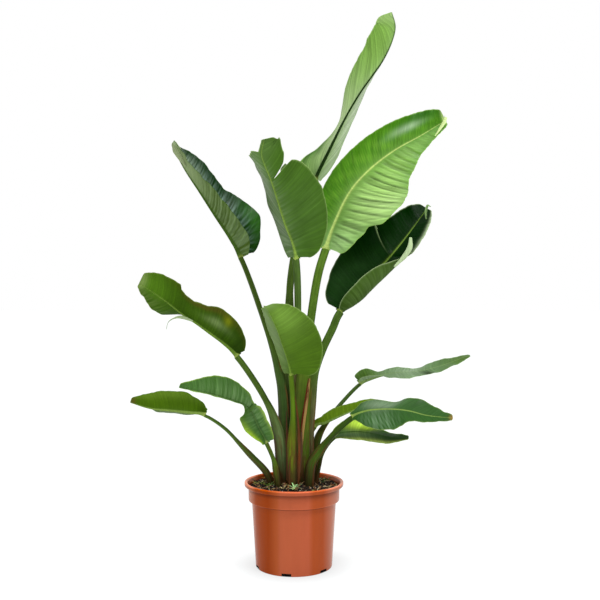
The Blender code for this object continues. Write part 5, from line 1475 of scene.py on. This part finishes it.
def stalk_material():
    """Stalk skin: painted colour with lengthwise streaks, browner towards the foot."""
    material, tree = new_material("stalk_skin", 0.42, 0.08)
    veins = painted(tree, "veins", "Vector")
    streak = noise(tree, veins, STALK_STREAKS, rough=0.6)
    cloud = noise(tree, veins, STALK_CLOUDS)
    dead = noise(tree, veins, STALK_DEAD, detail=4.0, rough=0.6)
    value = product(tree, spread(tree, streak, *TONES["streak"]),
                    spread(tree, cloud, *TONES["stalk"]))
    brown = product(tree, painted(tree, "tint", "Alpha"),
                    remap(tree, dead, *DEAD_RANGE, 0.0, DEAD_STRENGTH))
    colour = mixed(tree, brown, painted(tree, "tint", "Color"), DEAD_TONE)
    return dressed(material, {"Base Color": times(tree, colour, value),
                              "Roughness": spread(tree, cloud, *STALK_ROUGHNESS),
                              "Normal": bump(tree, streak, *BUMPS["stalk"])})


def pot_material():
    """Moulded terracotta-coloured plastic, with painted window reflections that make it paler
    across its front, painted shade under its collar and lip, and a painted highlight along its
    rim.
    """
    material, tree = new_material("pot_plastic", 0.2, POT_SHINE)
    place = node(tree, "TexCoord", "Object")
    height = axis(tree, place, "Z")
    cloud = noise(tree, place, POT_CLOUD, detail=4.0)
    flow = noise(tree, place, POT_FLOW)
    grain = noise(tree, place, POT_GRAIN, detail=2.0)
    # Painted reflection: paler bands fixed across the pot from its left to its right
    colour = ramp(tree, axis(tree, place, "X"), -SHOULDER_RADIUS, SHOULDER_RADIUS, POT_BANDS)
    # Painted shade under the collar and lip, and painted highlights on the collar's edge and the
    # lip, by height
    depth = ramp(tree, height, COLLAR_BOTTOM - SHADES_BELOW, POT_HEIGHT, POT_SHADES)
    radius = radius_of(tree, scaled(tree, place, (1.0, 1.0, 0.0)))
    inside = product(tree, remap(tree, height, *INSIDE_HEIGHTS, 0.0, 1.0),
                     remap(tree, radius, *[COLLAR_RADIUS - step for step in INSIDE_DEPTHS],
                           1.0, 0.0))
    value = product(tree, spread(tree, flow, *TONES["pot"]), POT_LEVEL, depth)
    return dressed(material, {
        "Base Color": times(tree, mixed(tree, inside, colour, POT_INSIDE), value),
        "Roughness": spread(tree, cloud, *POT_ROUGHNESS),
        "Normal": bump(tree, grain, *BUMPS["pot"])})


def crust_material():
    """Dark potting soil with lighter crumbs."""
    material, tree = new_material("potting_soil", 0.95, 0.3)
    place = node(tree, "TexCoord", "Object")
    coarse = noise(tree, place, CRUST_COARSE, detail=5.0, rough=0.7)
    fine = noise(tree, place, CRUST_FINE, rough=0.7)
    colour = times(tree, ramp(tree, coarse, 0.0, 1.0, SOIL_TONES),
                   spread(tree, fine, *TONES["crust"]))
    return dressed(material, {"Base Color": colour, "Normal": bump(tree, fine, *BUMPS["crust"])})


def litter_material():
    """Bark, grit and straw."""
    material, tree = new_material("soil_litter", 0.85, 0.3)
    grain = noise(tree, node(tree, "TexCoord", "Object"), LITTER_GRAIN, rough=0.7)
    colour = times(tree, painted(tree, "tint", "Color"), spread(tree, grain, *TONES["litter"]))
    return dressed(material, {"Base Color": colour, "Normal": bump(tree, grain, *BUMPS["litter"])})


def floor_material():
    """White studio floor, with painted shade under the pot and a little painted shadow close round
    it.
    """
    material, tree = new_material("studio_floor", 0.9, 0.0)
    radius = radius_of(tree, node(tree, "TexCoord", "Object"))
    # Painted shade under the pot and painted shadow round it, in both its colour and its glow
    open_sky = product(tree, remap(tree, radius, BASE_RADIUS - UNDER_EDGE, BASE_RADIUS,
                                   UNDER_LIGHT, 1.0),
                       remap(tree, radius, BASE_RADIUS, FLOOR_DARK_REACH, FLOOR_DARK, 1.0))
    return dressed(material, {"Base Color": times(tree, FLOOR_TONE, open_sky),
                              "Emission Color": WHITE,
                              "Emission Strength": product(tree, open_sky, FLOOR_GLOW)})


MATERIALS = {name: made[0] for name, made in (
    ("leaf_upper", leaf_material("leaf_upper_skin", 0.30, 0.14, 0.13)),
    ("leaf_lower", leaf_material("leaf_lower_skin", 0.46, 0.04, 0.11)),
    ("leaf_veined", leaf_material("leaf_veined_skin", 0.46, 0.04, 0.30)),
    ("stalk", stalk_material()), ("pot", pot_material()), ("crust", crust_material()),
    ("litter", litter_material()), ("floor", floor_material()))}


def main():
    """Dress the plant."""
    make_camera()
    make_light()
    make_floor()
    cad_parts["soil"].data.materials.clear()
    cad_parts["soil"].data.materials.append(MATERIALS["crust"])
    for seed, name in enumerate(LEAVES):
        make_stalk(name, STALK_SEED + seed)
        make_blade(name, BLADE_SEEDS * seed + BLADE_SEED)
    make_pot()
    make_crust()
    make_litter()
    make_weeds()
    make_strips("leaf_curls", "leaf", "leaf_lower", CURLS)
    make_strips("stalk_strips", "stalk", "stalk", STRIPS)


main()
